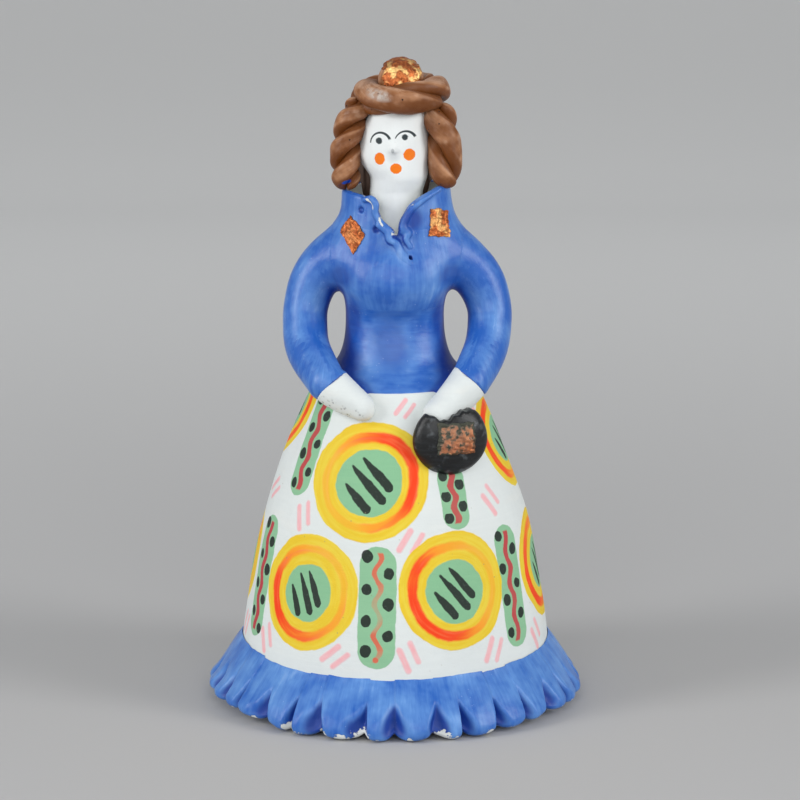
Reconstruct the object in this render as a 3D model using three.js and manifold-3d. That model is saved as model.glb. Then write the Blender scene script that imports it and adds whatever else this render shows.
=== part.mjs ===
// A hand-modelled and painted clay figurine of a lady with a bag, as the clay pieces it is built from:
// a hollow bell skirt with a pleated frill, a solid bodice, sausage sleeves, mitten hands, a neck and head,
// a stand-up collar, hair of twisted clay ropes, a bag and four squares of metal leaf.
// Millimetres, +Z up. The origin is on the floor under the middle of the skirt, and the figure faces -Y.
import * as THREE from "three";
import { mergeVertices } from "three/addons/utils/BufferGeometryUtils.js";
import Module from "manifold-3d";

const wasm = await Module();
wasm.setup();

// Gap left at each seam between two pieces
const SEAM = 0.3;

// Skirt, a hollow bell: heights above the floor, outer radii
const HEM_RADIUS = 51.6;
const SHIN_HEIGHT = 21;
const SHIN_RADIUS = 50.3;
const KNEE_HEIGHT = 46;
const KNEE_RADIUS = 46.5;
const THIGH_HEIGHT = 65;
const THIGH_RADIUS = 42.2;
const HIP_HEIGHT = 82;
const HIP_RADIUS = 36.4;
const SEAT_HEIGHT = 106;
const SEAT_RADIUS = 26.2;
const SKIRT_WALL = 4.6;
const CROWN_THICKNESS = 7;

// Frill round the hem, a strip pinched into pleats
const PLEATS = 32;
const FRILL_HEIGHT = 19;
const FRILL_RIM_RADIUS = 62.2;
const FRILL_THICKNESS = 5;
const FRILL_EDGE = 1;
const FRILL_FLARE = 2.4;
const FRILL_ROLL = 2.6;
const FRILL_LIFT = 0.5;
const PLEAT_DEPTH = 3.6;

// Bodice: rises above the seat, full widths and depths
const PEPLUM_RISE = 6;
const PEPLUM_WIDTH = 38.6;
const PEPLUM_DEPTH = 37;
const WAIST_RISE = 20.6;
const WAIST_WIDTH = 32;
const WAIST_DEPTH = 28.6;
const BUST_RISE = 32.5;
const BUST_WIDTH = 43.4;
const BUST_DEPTH = 35;
const BUST_FORWARD = 1.4;
const SHOULDER_RISE = 42.6;
const SHOULDER_WIDTH = 46.6;
const SHOULDER_DEPTH = 31.5;
const BODICE_RISE = 49.4;
const YOKE_WIDTH = 41;
const YOKE_DEPTH = 30;

// Collar, a standing strip with a notch at the throat, on top of the bodice
const COLLAR_HEIGHT = 13.6;
const COLLAR_WIDTH = 34.6;
const COLLAR_DEPTH = 27.6;
const COLLAR_THICKNESS = 2.6;
const NOTCH_FLOOR = 1;
const NOTCH_HALF_ANGLE = 58;
const RUFFLE_DEPTH = 0.9;
const RUFFLE_WAVES = 9;

// Pinched ridge that runs down the chest from the throat
const RIDGE_RADIUS = 1.7;
const RIDGE_LENGTH = 9;
const RIDGE_SIDE = 5.4;
const RIDGE_PROUD = 0.5;

// Neck and head, one column: rises above the top of the bodice, full widths
const THROAT_WIDTH = 25;
const THROAT_DROP = 3;
const NECK_RISE = 9.5;
const NECK_WIDTH = 19.4;
const JAW_RISE = 20;
const JAW_WIDTH = 19.8;
const FACE_RISE = 30;
const FACE_WIDTH = 20.4;
const HEAD_RISE = 42.6;
const BROW_DROP = 5;
const BROW_WIDTH = 19.2;
const SCALP_WIDTH = 9;
const NOSE_RISE = 26.7;
const NOSE_RADIUS = 0.9;

// Hair: two-strand ropes, a top knot and a pad at the back
const CROWN_RADIUS = 11;
const CROWN_SIDE = 1.8;
const CROWN_RISE = 1.2;
const CROWN_TILT = 4;
const CROWN_TURNS = 2;
const CROWN_ROPE = 4.9;
const LOCK_LENGTH = 24.6;
const LOCK_ROPE = 5.6;
const LOCK_FORWARD = 3.3;
const LOCK_PRESS = 0.6;
const RIGHT_LOCK_TURNS = 1.8;
const LEFT_LOCK_TURNS = 1.1;
const KNOT_RADIUS = 7.4;
const KNOT_RISE = 5.2;
const BACK_HAIR_WIDTH = 25;
const BACK_HAIR_DEPTH = 9;
const BACK_HAIR_DROP = 2;

// Sleeves: reaches to each side of the middle, rises above the seat
const SLEEVE_RADIUS = 8.6;
const ELBOW_RADIUS = 7.4;
const CUFF_RADIUS = 6;
const ROOT_REACH = 14;
const ROOT_RISE = 43.4;
const SHOULDER_REACH = 23;
const SLEEVE_SHOULDER_RISE = 36.8;
const ARM_REACH = 29.4;
const ARM_RISE = 21.5;
const ARM_FORWARD = 1;
const ELBOW_REACH = 28.6;
const ELBOW_RISE = 12.6;
const ELBOW_FORWARD = 5;
const WRIST_RISE = 2.8;
const WRIST_STAND_OFF = 5;
const RIGHT_WRIST_AZIMUTH = 45;
const LEFT_WRIST_AZIMUTH = 51;

// Mitten hands that lie on the skirt
const WRIST_RADIUS = 4.6;
const HAND_RADIUS = 5;
const FINGER_RADIUS = 3.4;
const HAND_DROP = 4.6;
const RIGHT_TIP_AZIMUTH = 15;
const LEFT_TIP_AZIMUTH = 21;

// Bag under the left hand
const BAG_WIDTH = 24.4;
const BAG_HEIGHT = 23.4;
const BAG_DEPTH = 11;
const BAG_MOUTH = 9.4;
const BAG_AZIMUTH = 29;
const BAG_TURN = 16;
const BAG_DROP = 13;
const BAG_STAND_OFF = 4.1;

// Squares of metal leaf
const LEAF_THICKNESS = 0.3;
const CHEST_LEAF_WIDTH = 6.2;
const CHEST_LEAF_HEIGHT = 7.6;
const BAG_LEAF_WIDTH = 11.8;
const BAG_LEAF_HEIGHT = 10.4;
const BAG_LEAF_SIDE = 2.4;
const KNOT_LEAF_WIDTH = 12.5;
const RIGHT_CHEST_LEAF = { side: -12.2, rise: -0.4, azimuth: -40, roll: 32 };
const LEFT_CHEST_LEAF = { side: 13.8, rise: 2.6, azimuth: 45, roll: -8 };
const CHEST_LEAF_LIFT = -20;

const COLOURS = {
  blue: 0x5880cd,
  white: 0xe8ebea,
  brown: 0xa0704a,
  darkBrown: 0x3a241a,
  black: 0x2b2c2e,
  copper: 0xb8683a,
};

const DEGREE = Math.PI / 180;
const SIDES = [
  [-1, "right"],
  [1, "left"],
];

// Places that follow from the sizes
const bodiceTop = SEAT_HEIGHT + BODICE_RISE;
const headTop = bodiceTop + HEAD_RISE;
const crownHeight = headTop + CROWN_RISE;

// A smooth function through stations, each [position, value, value, ...]. It returns the values at a
// position.
function through(stations) {
  const slope = (i, k) => {
    const before = stations[Math.max(i - 1, 0)];
    const after = stations[Math.min(i + 1, stations.length - 1)];
    return (after[k] - before[k]) / (after[0] - before[0]);
  };
  return (position) => {
    let i = 0;
    while (i < stations.length - 2 && position > stations[i + 1][0]) i++;
    const from = stations[i];
    const to = stations[i + 1];
    const span = to[0] - from[0];
    const t = THREE.MathUtils.clamp((position - from[0]) / span, 0, 1);
    return from.slice(1).map((value, n) => {
      const k = n + 1;
      const rise = to[k] - value;
      const a = slope(i, k) * span - rise;
      const b = rise - slope(i + 1, k) * span;
      return value + rise * t + t * (1 - t) * (a * (1 - t) + b * t);
    });
  };
}

// The surface that joins rings of points. A ring run that isn't a loop gets an end cap at each end.
function skin(rings, { loop = false } = {}) {
  const around = rings[0].length;
  const points = rings.flat();
  const faces = [];
  const runs = loop ? rings.length : rings.length - 1;
  for (let i = 0; i < runs; i++) {
    const here = i * around;
    const next = ((i + 1) % rings.length) * around;
    for (let j = 0; j < around; j++) {
      const k = (j + 1) % around;
      faces.push([here + j, here + k, next + k]);
      faces.push([here + j, next + k, next + j]);
    }
  }
  if (!loop) {
    for (const [ring, start, turned] of [
      [rings[0], 0, true],
      [rings.at(-1), (rings.length - 1) * around, false],
    ]) {
      const centre = points.length;
      const sum = ring.reduce((total, p) => total.add(p), new THREE.Vector3());
      points.push(sum.divideScalar(around));
      for (let j = 0; j < around; j++) {
        const k = (j + 1) % around;
        faces.push(turned ? [centre, start + k, start + j] : [centre, start + j, start + k]);
      }
    }
  }
  const volume = faces.reduce((total, [a, b, c]) => {
    const cross = new THREE.Vector3().crossVectors(points[b], points[c]);
    return total + points[a].dot(cross);
  }, 0);
  const turned = volume < 0 ? faces.map(([a, b, c]) => [a, c, b]) : faces;
  return new THREE.BufferGeometry().setFromPoints(points).setIndex(turned.flat());
}

// A column of ellipses: stations are [height, half width, half depth, forward], and grow makes it
// fatter all over and longer at both ends.
function column(stations, { around, rings, grow = 0 }) {
  const at = through(stations.map(([height, wide, deep, forward = 0]) => [height, wide, deep, forward]));
  const low = stations[0][0];
  const high = stations.at(-1)[0];
  const levels = Array.from({ length: rings + 1 }, (_, i) => [low + ((high - low) * i) / rings, 0]);
  if (grow > 0) {
    levels.unshift([low, -grow]);
    levels.push([high, grow]);
  }
  return skin(
    levels.map(([height, shift]) => {
      const [halfWidth, halfDepth, forward] = at(height);
      return Array.from({ length: around }, (_, j) => {
        const angle = (j / around) * 2 * Math.PI;
        return new THREE.Vector3(
          (halfWidth + grow) * Math.cos(angle),
          (halfDepth + grow) * Math.sin(angle) - forward,
          height + shift,
        );
      });
    }),
  );
}

// A clay sausage along a curve. Its radius is a function of how far along it is, and each end is
// round or square.
function sausage(curve, radiusAt, { around, steps, grow = 0, roundStart = true, roundEnd = true }) {
  const frames = curve.computeFrenetFrames(steps, false);
  const ring = (i, radius, forward) => {
    const centre = curve.getPointAt(i / steps).addScaledVector(frames.tangents[i], forward);
    return Array.from({ length: around }, (_, j) => {
      const angle = (j / around) * 2 * Math.PI;
      return centre
        .clone()
        .addScaledVector(frames.normals[i], radius * Math.cos(angle))
        .addScaledVector(frames.binormals[i], radius * Math.sin(angle));
    });
  };
  const capAngles = [80, 55, 28];
  const cap = (i, sign) =>
    capAngles.map((angle) => {
      const radius = radiusAt(i / steps) + grow;
      return ring(i, radius * Math.cos(angle * DEGREE), sign * radius * Math.sin(angle * DEGREE));
    });
  const rings = roundStart ? cap(0, -1) : [];
  for (let i = 0; i <= steps; i++) {
    const squareEnd = (i === 0 && !roundStart ? -grow : 0) + (i === steps && !roundEnd ? grow : 0);
    rings.push(ring(i, radiusAt(i / steps) + grow, squareEnd));
  }
  return skin(roundEnd ? [...rings, ...cap(steps, 1).reverse()] : rings);
}

// One strand of a two-strand rope: it winds round the rope's own line, and is flat where the strands meet.
function strand(curve, rope, { turns, phase, around, steps, loop = false, grow = 0, taper = 0 }) {
  const frames = curve.computeFrenetFrames(steps, loop);
  const thick = (rope - SEAM / 2) / 2;
  const offset = rope - thick;
  const wide = rope * 0.8;
  const full = (value) => Math.sign(value) * Math.abs(value) ** 0.72;
  const rings = [];
  for (let i = 0; i < steps + (loop ? 0 : 1); i++) {
    const t = i / steps;
    const fromEnd = Math.min(t, 1 - t) / (taper || 1);
    const size = taper && fromEnd < 1 ? Math.sqrt(Math.max(1 - (1 - fromEnd) ** 2, 0.02)) : 1;
    const turn = phase + turns * 2 * Math.PI * t;
    const out = frames.normals[i]
      .clone()
      .multiplyScalar(Math.cos(turn))
      .addScaledVector(frames.binormals[i], Math.sin(turn));
    const side = new THREE.Vector3().crossVectors(frames.tangents[i], out);
    const centre = curve.getPointAt(t).addScaledVector(out, offset);
    rings.push(
      Array.from({ length: around }, (_, j) => {
        const angle = (j / around) * 2 * Math.PI;
        return centre
          .clone()
          .addScaledVector(out, (thick * size + grow) * full(Math.cos(angle)))
          .addScaledVector(side, (wide * size + grow) * full(Math.sin(angle)));
      }),
    );
  }
  return skin(rings, { loop });
}

// A closed geometry as a solid to cut and join
function solid(geometry) {
  const bare = geometry.clone();
  bare.deleteAttribute("normal");
  bare.deleteAttribute("uv");
  const merged = mergeVertices(bare, 1e-4);
  return new wasm.Manifold(
    new wasm.Mesh({
      numProp: 3,
      vertProperties: new Float32Array(merged.attributes.position.array),
      triVerts: new Uint32Array(merged.index.array),
    }),
  );
}

// The largest body of a solid as a geometry: a cut can leave slivers beside it
function geometryOf(body) {
  const [largest] = body.decompose().sort((a, b) => b.volume() - a.volume());
  const mesh = largest.getMesh();
  return new THREE.BufferGeometry()
    .setAttribute("position", new THREE.BufferAttribute(new Float32Array(mesh.vertProperties), 3))
    .setIndex(new THREE.BufferAttribute(mesh.triVerts, 1));
}

// A piece with room cut for its neighbours, each given already grown by the seam
function fitted(geometry, ...neighbours) {
  return geometryOf(neighbours.reduce((body, next) => body.subtract(solid(next)), solid(geometry)));
}

// The skirt's outer radius at a height
const skirtStations = [
  [0, HEM_RADIUS],
  [SHIN_HEIGHT, SHIN_RADIUS],
  [KNEE_HEIGHT, KNEE_RADIUS],
  [THIGH_HEIGHT, THIGH_RADIUS],
  [HIP_HEIGHT, HIP_RADIUS],
  [SEAT_HEIGHT, SEAT_RADIUS],
];
const skirtShape = through(skirtStations);
const skirtRadius = (height) => skirtShape(height)[0];

// A point that stands off the skirt. Azimuth is in degrees from the front towards her left hand, +X.
function overSkirt(azimuth, height, standOff) {
  const reach = skirtRadius(height) + standOff;
  return new THREE.Vector3(
    reach * Math.sin(azimuth * DEGREE),
    -reach * Math.cos(azimuth * DEGREE),
    height,
  );
}

function skirtGeometry() {
  const rings = 10;
  const outside = Array.from({ length: rings + 1 }, (_, i) => {
    const height = (SEAT_HEIGHT * i) / rings;
    return new THREE.Vector2(skirtRadius(height), height);
  });
  const hollowTop = SEAT_HEIGHT - CROWN_THICKNESS;
  const inside = Array.from({ length: rings }, (_, i) => {
    const height = hollowTop * (1 - i / (rings - 1));
    return new THREE.Vector2(skirtRadius(height) - SKIRT_WALL, height);
  });
  const profile = [
    ...outside,
    new THREE.Vector2(0, SEAT_HEIGHT),
    new THREE.Vector2(0, hollowTop),
    ...inside,
    outside[0].clone(),
  ];
  return turned(profile, 40);
}

// A profile that starts and ends at the same point, turned about +Z
function turned(profile, around) {
  return new THREE.LatheGeometry(profile, around).rotateX(Math.PI / 2);
}

// The skirt without its hollow, fatter by the seam, to fit pieces that lie on it
function skirtCutter(grow) {
  const stations = skirtStations.map(([height, radius]) => [height, radius, radius]);
  return column(stations, { around: 40, rings: 10, grow });
}

// The frill: each ring is its cross-section at one angle, and the pleats open towards the rim
function frillGeometry() {
  const pleatPoints = 4;
  const heights = [1, 0.66, 0.34, 0];
  const spread = through([
    [0, FRILL_RIM_RADIUS],
    [FRILL_HEIGHT * 0.4, FRILL_RIM_RADIUS - FRILL_ROLL],
    [FRILL_HEIGHT * 0.75, skirtRadius(FRILL_HEIGHT * 0.75) + SEAM + FRILL_EDGE + FRILL_FLARE],
    [FRILL_HEIGHT, skirtRadius(FRILL_HEIGHT) + SEAM + FRILL_EDGE],
  ]);
  const rings = [];
  for (let i = 0; i < PLEATS * pleatPoints; i++) {
    const angle = (i / (PLEATS * pleatPoints)) * 2 * Math.PI;
    const fold = Math.abs(Math.cos((angle * PLEATS) / 2)) ** 3;
    const point = (radius, height) =>
      new THREE.Vector3(radius * Math.sin(angle), -radius * Math.cos(angle), height);
    const section = heights.map((share) => {
      const height = FRILL_LIFT + (FRILL_HEIGHT - FRILL_LIFT) * share;
      const open = Math.max(1 - share / 0.7, 0);
      const outer = spread(height)[0] - PLEAT_DEPTH * fold * open;
      const inner = Math.max(skirtRadius(height) + SEAM, outer - FRILL_THICKNESS);
      return { height, outer, inner };
    });
    rings.push([
      ...section.map(({ height, outer }) => point(outer, height)),
      ...section.reverse().map(({ height, inner }) => point(inner, height)),
    ]);
  }
  return skin(rings, { loop: true });
}

function bodiceGeometry(grow = 0) {
  return column(
    [
      [SEAT_HEIGHT + SEAM, SEAT_RADIUS, SEAT_RADIUS],
      [SEAT_HEIGHT + PEPLUM_RISE, PEPLUM_WIDTH / 2, PEPLUM_DEPTH / 2],
      [SEAT_HEIGHT + WAIST_RISE, WAIST_WIDTH / 2, WAIST_DEPTH / 2],
      [SEAT_HEIGHT + BUST_RISE, BUST_WIDTH / 2, BUST_DEPTH / 2, BUST_FORWARD],
      [SEAT_HEIGHT + SHOULDER_RISE, SHOULDER_WIDTH / 2, SHOULDER_DEPTH / 2],
      [bodiceTop, YOKE_WIDTH / 2, YOKE_DEPTH / 2],
    ],
    { around: 28, rings: 14, grow },
  );
}

// Neck and head before the seams are cut
function headColumn(grow = 0) {
  return column(
    [
      [bodiceTop - THROAT_DROP, THROAT_WIDTH / 2, THROAT_WIDTH / 2],
      [bodiceTop + NECK_RISE, NECK_WIDTH / 2, NECK_WIDTH / 2],
      [bodiceTop + JAW_RISE, JAW_WIDTH / 2, JAW_WIDTH / 2],
      [bodiceTop + FACE_RISE, FACE_WIDTH / 2, FACE_WIDTH / 2],
      [headTop - BROW_DROP, BROW_WIDTH / 2, BROW_WIDTH / 2],
      [headTop, SCALP_WIDTH / 2, SCALP_WIDTH / 2],
    ],
    { around: 24, rings: 14, grow },
  );
}

// The collar: each ring is its cross-section at one angle from the throat
function collarRing(grow = 0) {
  const around = 44;
  const foot = bodiceTop + SEAM;
  const rings = [];
  for (let i = 0; i < around; i++) {
    const angle = (i / around) * 2 * Math.PI;
    const fromFront = Math.min(angle, 2 * Math.PI - angle) / DEGREE;
    const notch = Math.max(1 - fromFront / NOTCH_HALF_ANGLE, 0) ** 1.4;
    const height = THREE.MathUtils.lerp(COLLAR_HEIGHT, NOTCH_FLOOR, notch);
    const wave = RUFFLE_DEPTH * Math.sin(angle * RUFFLE_WAVES) * Math.min(notch * 2, 1);
    const point = (share, inward) => {
      const lean = (1 - (height * share) / COLLAR_HEIGHT) ** 2.2;
      const halfWidth = THREE.MathUtils.lerp(COLLAR_WIDTH, YOKE_WIDTH, lean) / 2;
      const halfDepth = THREE.MathUtils.lerp(COLLAR_DEPTH, YOKE_DEPTH, lean) / 2;
      const move = wave * share - inward;
      return new THREE.Vector3(
        (halfWidth + move) * Math.sin(angle),
        -(halfDepth + move) * Math.cos(angle),
        foot + height * share + (share === 0 ? -grow : share === 1 ? grow : 0),
      );
    };
    const shares = [0, 0.35, 0.7, 1];
    rings.push([
      ...shares.map((share) => point(share, -grow)),
      ...shares.reverse().map((share) => point(share, COLLAR_THICKNESS + grow)),
    ]);
  }
  return skin(rings, { loop: true });
}

// A point on the bodice's front, or proud of it, below the top of the bodice
function onChest(side, drop, proud) {
  const t = drop / (BODICE_RISE - SHOULDER_RISE);
  const halfDepth = THREE.MathUtils.lerp(YOKE_DEPTH, SHOULDER_DEPTH, t) / 2;
  return new THREE.Vector3(side, side ** 2 / BUST_WIDTH - halfDepth - proud, bodiceTop - drop);
}

function chestRidge() {
  const path = new THREE.CatmullRomCurve3([
    onChest(-RIDGE_SIDE * 0.4, RIDGE_LENGTH * 0.06, RIDGE_PROUD),
    onChest(0, RIDGE_LENGTH * 0.3, RIDGE_PROUD * 0.8),
    onChest(RIDGE_SIDE * 0.45, RIDGE_LENGTH * 0.6, RIDGE_PROUD * 0.2),
    onChest(RIDGE_SIDE, RIDGE_LENGTH, -RIDGE_PROUD * 0.8),
  ]);
  return sausage(path, (t) => RIDGE_RADIUS * (1 - 0.35 * t), { around: 10, steps: 9 });
}

// Side is -1 for her right arm and 1 for her left arm
function armPath(side) {
  const wristAzimuth = side < 0 ? RIGHT_WRIST_AZIMUTH : LEFT_WRIST_AZIMUTH;
  const wrist = overSkirt(side * wristAzimuth, SEAT_HEIGHT + WRIST_RISE, WRIST_STAND_OFF);
  return new THREE.CatmullRomCurve3([
    new THREE.Vector3(side * ROOT_REACH, 0, SEAT_HEIGHT + ROOT_RISE),
    new THREE.Vector3(side * SHOULDER_REACH, 0, SEAT_HEIGHT + SLEEVE_SHOULDER_RISE),
    new THREE.Vector3(side * ARM_REACH, -ARM_FORWARD, SEAT_HEIGHT + ARM_RISE),
    new THREE.Vector3(side * ELBOW_REACH, -ELBOW_FORWARD, SEAT_HEIGHT + ELBOW_RISE),
    wrist,
  ]);
}

function sleeve(side, grow = 0) {
  const radius = through([
    [0, SLEEVE_RADIUS],
    [0.35, SLEEVE_RADIUS],
    [0.62, ELBOW_RADIUS],
    [1, CUFF_RADIUS],
  ]);
  return sausage(armPath(side), (t) => radius(t)[0], { around: 14, steps: 16, grow, roundEnd: false });
}

// The hand carries the arm on from the cuff to its finger tip, which lies on the skirt
function hand(side, grow = 0) {
  const arm = armPath(side);
  const cuff = arm.getPointAt(1);
  const along = arm.getTangentAt(1);
  const tipAzimuth = side < 0 ? RIGHT_TIP_AZIMUTH : LEFT_TIP_AZIMUTH;
  const tip = overSkirt(side * tipAzimuth, SEAT_HEIGHT - HAND_DROP, FINGER_RADIUS * 0.9);
  const length = cuff.distanceTo(tip);
  const path = new THREE.CatmullRomCurve3([
    cuff.clone().addScaledVector(along, SEAM),
    cuff.clone().lerp(tip, 0.4).addScaledVector(along, HAND_RADIUS * 0.3),
    tip.clone().lerp(cuff, FINGER_RADIUS / length),
  ]);
  const radius = through([
    [0, WRIST_RADIUS],
    [0.45, HAND_RADIUS],
    [1, FINGER_RADIUS],
  ]);
  return sausage(path, (t) => radius(t)[0], { around: 12, steps: 8, grow, roundStart: false });
}

function bagCentre() {
  return overSkirt(BAG_AZIMUTH, SEAT_HEIGHT - BAG_DROP, BAG_STAND_OFF);
}

// The bag: a flattened ball of clay with its top cut off, leaning on the skirt
function bag(grow = 0) {
  const ball = new THREE.SphereGeometry(1, 22, 12)
    .rotateX(Math.PI / 2)
    .scale(BAG_WIDTH / 2 + grow, BAG_DEPTH / 2 + grow, BAG_HEIGHT / 2 + grow);
  const above = new THREE.BoxGeometry(2 * BAG_WIDTH, 2 * BAG_WIDTH, 2 * BAG_WIDTH);
  above.translate(0, 0, BAG_MOUTH + grow + BAG_WIDTH);
  const cut = geometryOf(solid(ball).subtract(solid(above)));
  return cut.rotateZ(BAG_TURN * DEGREE).translate(...bagCentre().toArray());
}

// The rope round the crown of the head lies in a ring, higher on her left and at the back
function crownPath() {
  return new THREE.CatmullRomCurve3(
    Array.from({ length: 16 }, (_, i) => {
      const angle = (i / 16) * 2 * Math.PI;
      const x = CROWN_RADIUS * Math.sin(angle);
      const y = -CROWN_RADIUS * Math.cos(angle);
      return new THREE.Vector3(CROWN_SIDE + x, y, crownHeight + (x + y) * Math.tan(CROWN_TILT * DEGREE));
    }),
    true,
  );
}

function crownStrand(phase, grow = 0) {
  return strand(crownPath(), CROWN_ROPE, {
    turns: CROWN_TURNS,
    phase: phase * Math.PI,
    around: 8,
    steps: 32,
    loop: true,
    grow,
  });
}

// A hanging lock of hair beside the face
function lockStrand(side, phase, grow = 0) {
  const out = FACE_WIDTH / 2 + LOCK_ROPE - LOCK_PRESS;
  const top = crownHeight - CROWN_ROPE + LOCK_PRESS;
  const path = new THREE.CatmullRomCurve3([
    new THREE.Vector3(side * (out - 2 * LOCK_PRESS), -LOCK_FORWARD, top),
    new THREE.Vector3(side * out, -LOCK_FORWARD, top - LOCK_LENGTH * 0.35),
    new THREE.Vector3(side * (out + LOCK_PRESS), -LOCK_FORWARD, top - LOCK_LENGTH * 0.7),
    new THREE.Vector3(side * out, -LOCK_FORWARD, top - LOCK_LENGTH),
  ]);
  return strand(path, LOCK_ROPE, {
    turns: side < 0 ? -RIGHT_LOCK_TURNS : LEFT_LOCK_TURNS,
    phase: phase * Math.PI,
    around: 8,
    steps: 18,
    taper: 0.18,
    grow,
  });
}

function knotCentre() {
  return new THREE.Vector3(CROWN_SIDE, 0, headTop + KNOT_RISE);
}

function knot(grow = 0) {
  const { x, y, z } = knotCentre();
  return new THREE.SphereGeometry(KNOT_RADIUS + grow, 14, 10).rotateX(Math.PI / 2).translate(x, y, z);
}

function backHair(grow = 0) {
  const low = bodiceTop + NECK_RISE * 0.6;
  const high = headTop - BACK_HAIR_DROP;
  const back = -FACE_WIDTH / 2;
  return column(
    [
      [low, BACK_HAIR_WIDTH * 0.36, BACK_HAIR_DEPTH * 0.35, back],
      [THREE.MathUtils.lerp(low, high, 0.2), BACK_HAIR_WIDTH * 0.48, BACK_HAIR_DEPTH * 0.5, back],
      [THREE.MathUtils.lerp(low, high, 0.65), BACK_HAIR_WIDTH * 0.5, BACK_HAIR_DEPTH * 0.56, back],
      [high, BACK_HAIR_WIDTH * 0.36, BACK_HAIR_DEPTH * 0.5, back],
    ],
    { around: 16, rings: 7, grow },
  );
}

// A square of leaf: the part of a grown surface that a prism covers, less the surface itself
function leaf(surfaces, { width, height, centre, azimuth, roll = 0, lift = 0, reach = 6 }) {
  const prism = new THREE.BoxGeometry(width, reach, height)
    .rotateY(roll * DEGREE)
    .rotateX(lift * DEGREE)
    .rotateZ(azimuth * DEGREE)
    .translate(centre.x, centre.y, centre.z);
  const join = (grow) => surfaces.map((make) => solid(make(grow))).reduce((a, b) => a.add(b));
  const sheet = join(SEAM + LEAF_THICKNESS).subtract(join(SEAM));
  return geometryOf(sheet.intersect(solid(prism)));
}

// A point at the front of the yoke, for the leaf on it
function onYoke(side, rise) {
  const forward = Math.sqrt(1 - (side / (YOKE_WIDTH / 2)) ** 2) * (YOKE_DEPTH / 2);
  return new THREE.Vector3(side, -forward, bodiceTop + rise);
}

const group = new THREE.Group();

function add(name, geometry, colour, { roughness = 0.75, metalness = 0 } = {}) {
  const material = new THREE.MeshStandardMaterial({ color: colour, roughness, metalness });
  const mesh = new THREE.Mesh(geometry, material);
  mesh.name = name;
  group.add(mesh);
}

// Skirt and frill
const skirtRoom = skirtCutter(SEAM);
add("skirt_bell", skirtGeometry(), COLOURS.white);
add("hem_frill", frillGeometry(), COLOURS.blue);

// Bodice, neck and head
const bodiceRoom = bodiceGeometry(SEAM);
const headRoom = headColumn(SEAM);
add("bodice", bodiceGeometry(), COLOURS.blue);
add("neck_and_head", fitted(headColumn(), bodiceRoom), COLOURS.white);
const nose = new THREE.SphereGeometry(NOSE_RADIUS, 12, 8)
  .scale(1, 1.3, 1.4)
  .translate(-NOSE_RADIUS / 2, -FACE_WIDTH / 2 - SEAM, bodiceTop + NOSE_RISE);
add("nose", fitted(nose, headRoom), COLOURS.white);

// Collar and the ridge below it
const collarRoom = collarRing(SEAM);
add("collar", fitted(collarRing(), bodiceRoom, headRoom), COLOURS.blue);
add("chest_ridge", fitted(chestRidge(), bodiceRoom, collarRoom, headRoom), COLOURS.blue);

// Arms
for (const [side, which] of SIDES) {
  const armRooms = [bodiceRoom, collarRoom, skirtRoom];
  add(`${which}_sleeve`, fitted(sleeve(side), ...armRooms), COLOURS.blue);
  add(`${which}_hand`, fitted(hand(side), ...armRooms, sleeve(side, SEAM)), COLOURS.white);
}

// Bag
const bagBody = fitted(bag(), skirtRoom, hand(1, SEAM));
add("bag", bagBody, COLOURS.black, { roughness: 0.35 });

// Hair
const crownRooms = [crownStrand(0, SEAM), crownStrand(1, SEAM)];
add("crown_strand_front", fitted(crownStrand(0), headRoom), COLOURS.brown);
add("crown_strand_back", fitted(crownStrand(1), headRoom, crownRooms[0]), COLOURS.brown);
add("top_knot", fitted(knot(), headRoom, ...crownRooms), COLOURS.brown);
const lockRooms = [];
for (const [side, which] of SIDES) {
  const outer = lockStrand(side, 0, SEAM);
  const inner = lockStrand(side, 1, SEAM);
  const around = [headRoom, collarRoom, ...crownRooms];
  add(`${which}_lock_strand_outer`, fitted(lockStrand(side, 0), ...around), COLOURS.brown);
  add(`${which}_lock_strand_inner`, fitted(lockStrand(side, 1), ...around, outer), COLOURS.brown);
  lockRooms.push(outer, inner);
}
add(
  "back_hair",
  fitted(backHair(), headRoom, bodiceRoom, collarRoom, ...crownRooms, ...lockRooms),
  COLOURS.darkBrown,
);

// Metal leaf
const leafLook = { roughness: 0.3, metalness: 1 };
const shoulderSurfaces = [bodiceGeometry, collarRing, ...SIDES.map(([side]) => (grow) => sleeve(side, grow))];
const chestLeaf = ({ side, rise, azimuth, roll }) =>
  leaf(shoulderSurfaces, {
    width: CHEST_LEAF_WIDTH,
    height: CHEST_LEAF_HEIGHT,
    centre: onYoke(side, rise),
    azimuth,
    roll,
    lift: CHEST_LEAF_LIFT,
  });
add("right_chest_leaf", chestLeaf(RIGHT_CHEST_LEAF), COLOURS.copper, leafLook);
add("left_chest_leaf", chestLeaf(LEFT_CHEST_LEAF), COLOURS.copper, leafLook);
const bagLeaf = leaf([bag], {
  width: BAG_LEAF_WIDTH,
  height: BAG_LEAF_HEIGHT,
  centre: bagCentre().add(new THREE.Vector3(BAG_LEAF_SIDE, -BAG_DEPTH / 2, 0)),
  azimuth: BAG_TURN,
});
add("bag_leaf", fitted(bagLeaf, hand(1, SEAM)), COLOURS.copper, leafLook);
const knotLeaf = leaf([knot], {
  width: KNOT_LEAF_WIDTH,
  height: KNOT_LEAF_WIDTH,
  centre: knotCentre().add(new THREE.Vector3(0, -KNOT_RADIUS * 0.7, KNOT_RADIUS * 0.7)),
  azimuth: 0,
  lift: -45,
  reach: KNOT_RADIUS,
});
add("top_knot_leaf", fitted(knotLeaf, ...crownRooms), COLOURS.copper, leafLook);

export default group;
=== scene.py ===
"""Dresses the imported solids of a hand-modelled clay lady in smooth clay, tempera paint and metal leaf.

Sizes are millimetres in the object's own frame: +Z up, she faces -Y, and +X is towards her left hand.
Meshes are made in metres.
"""

import math
from itertools import product

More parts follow.
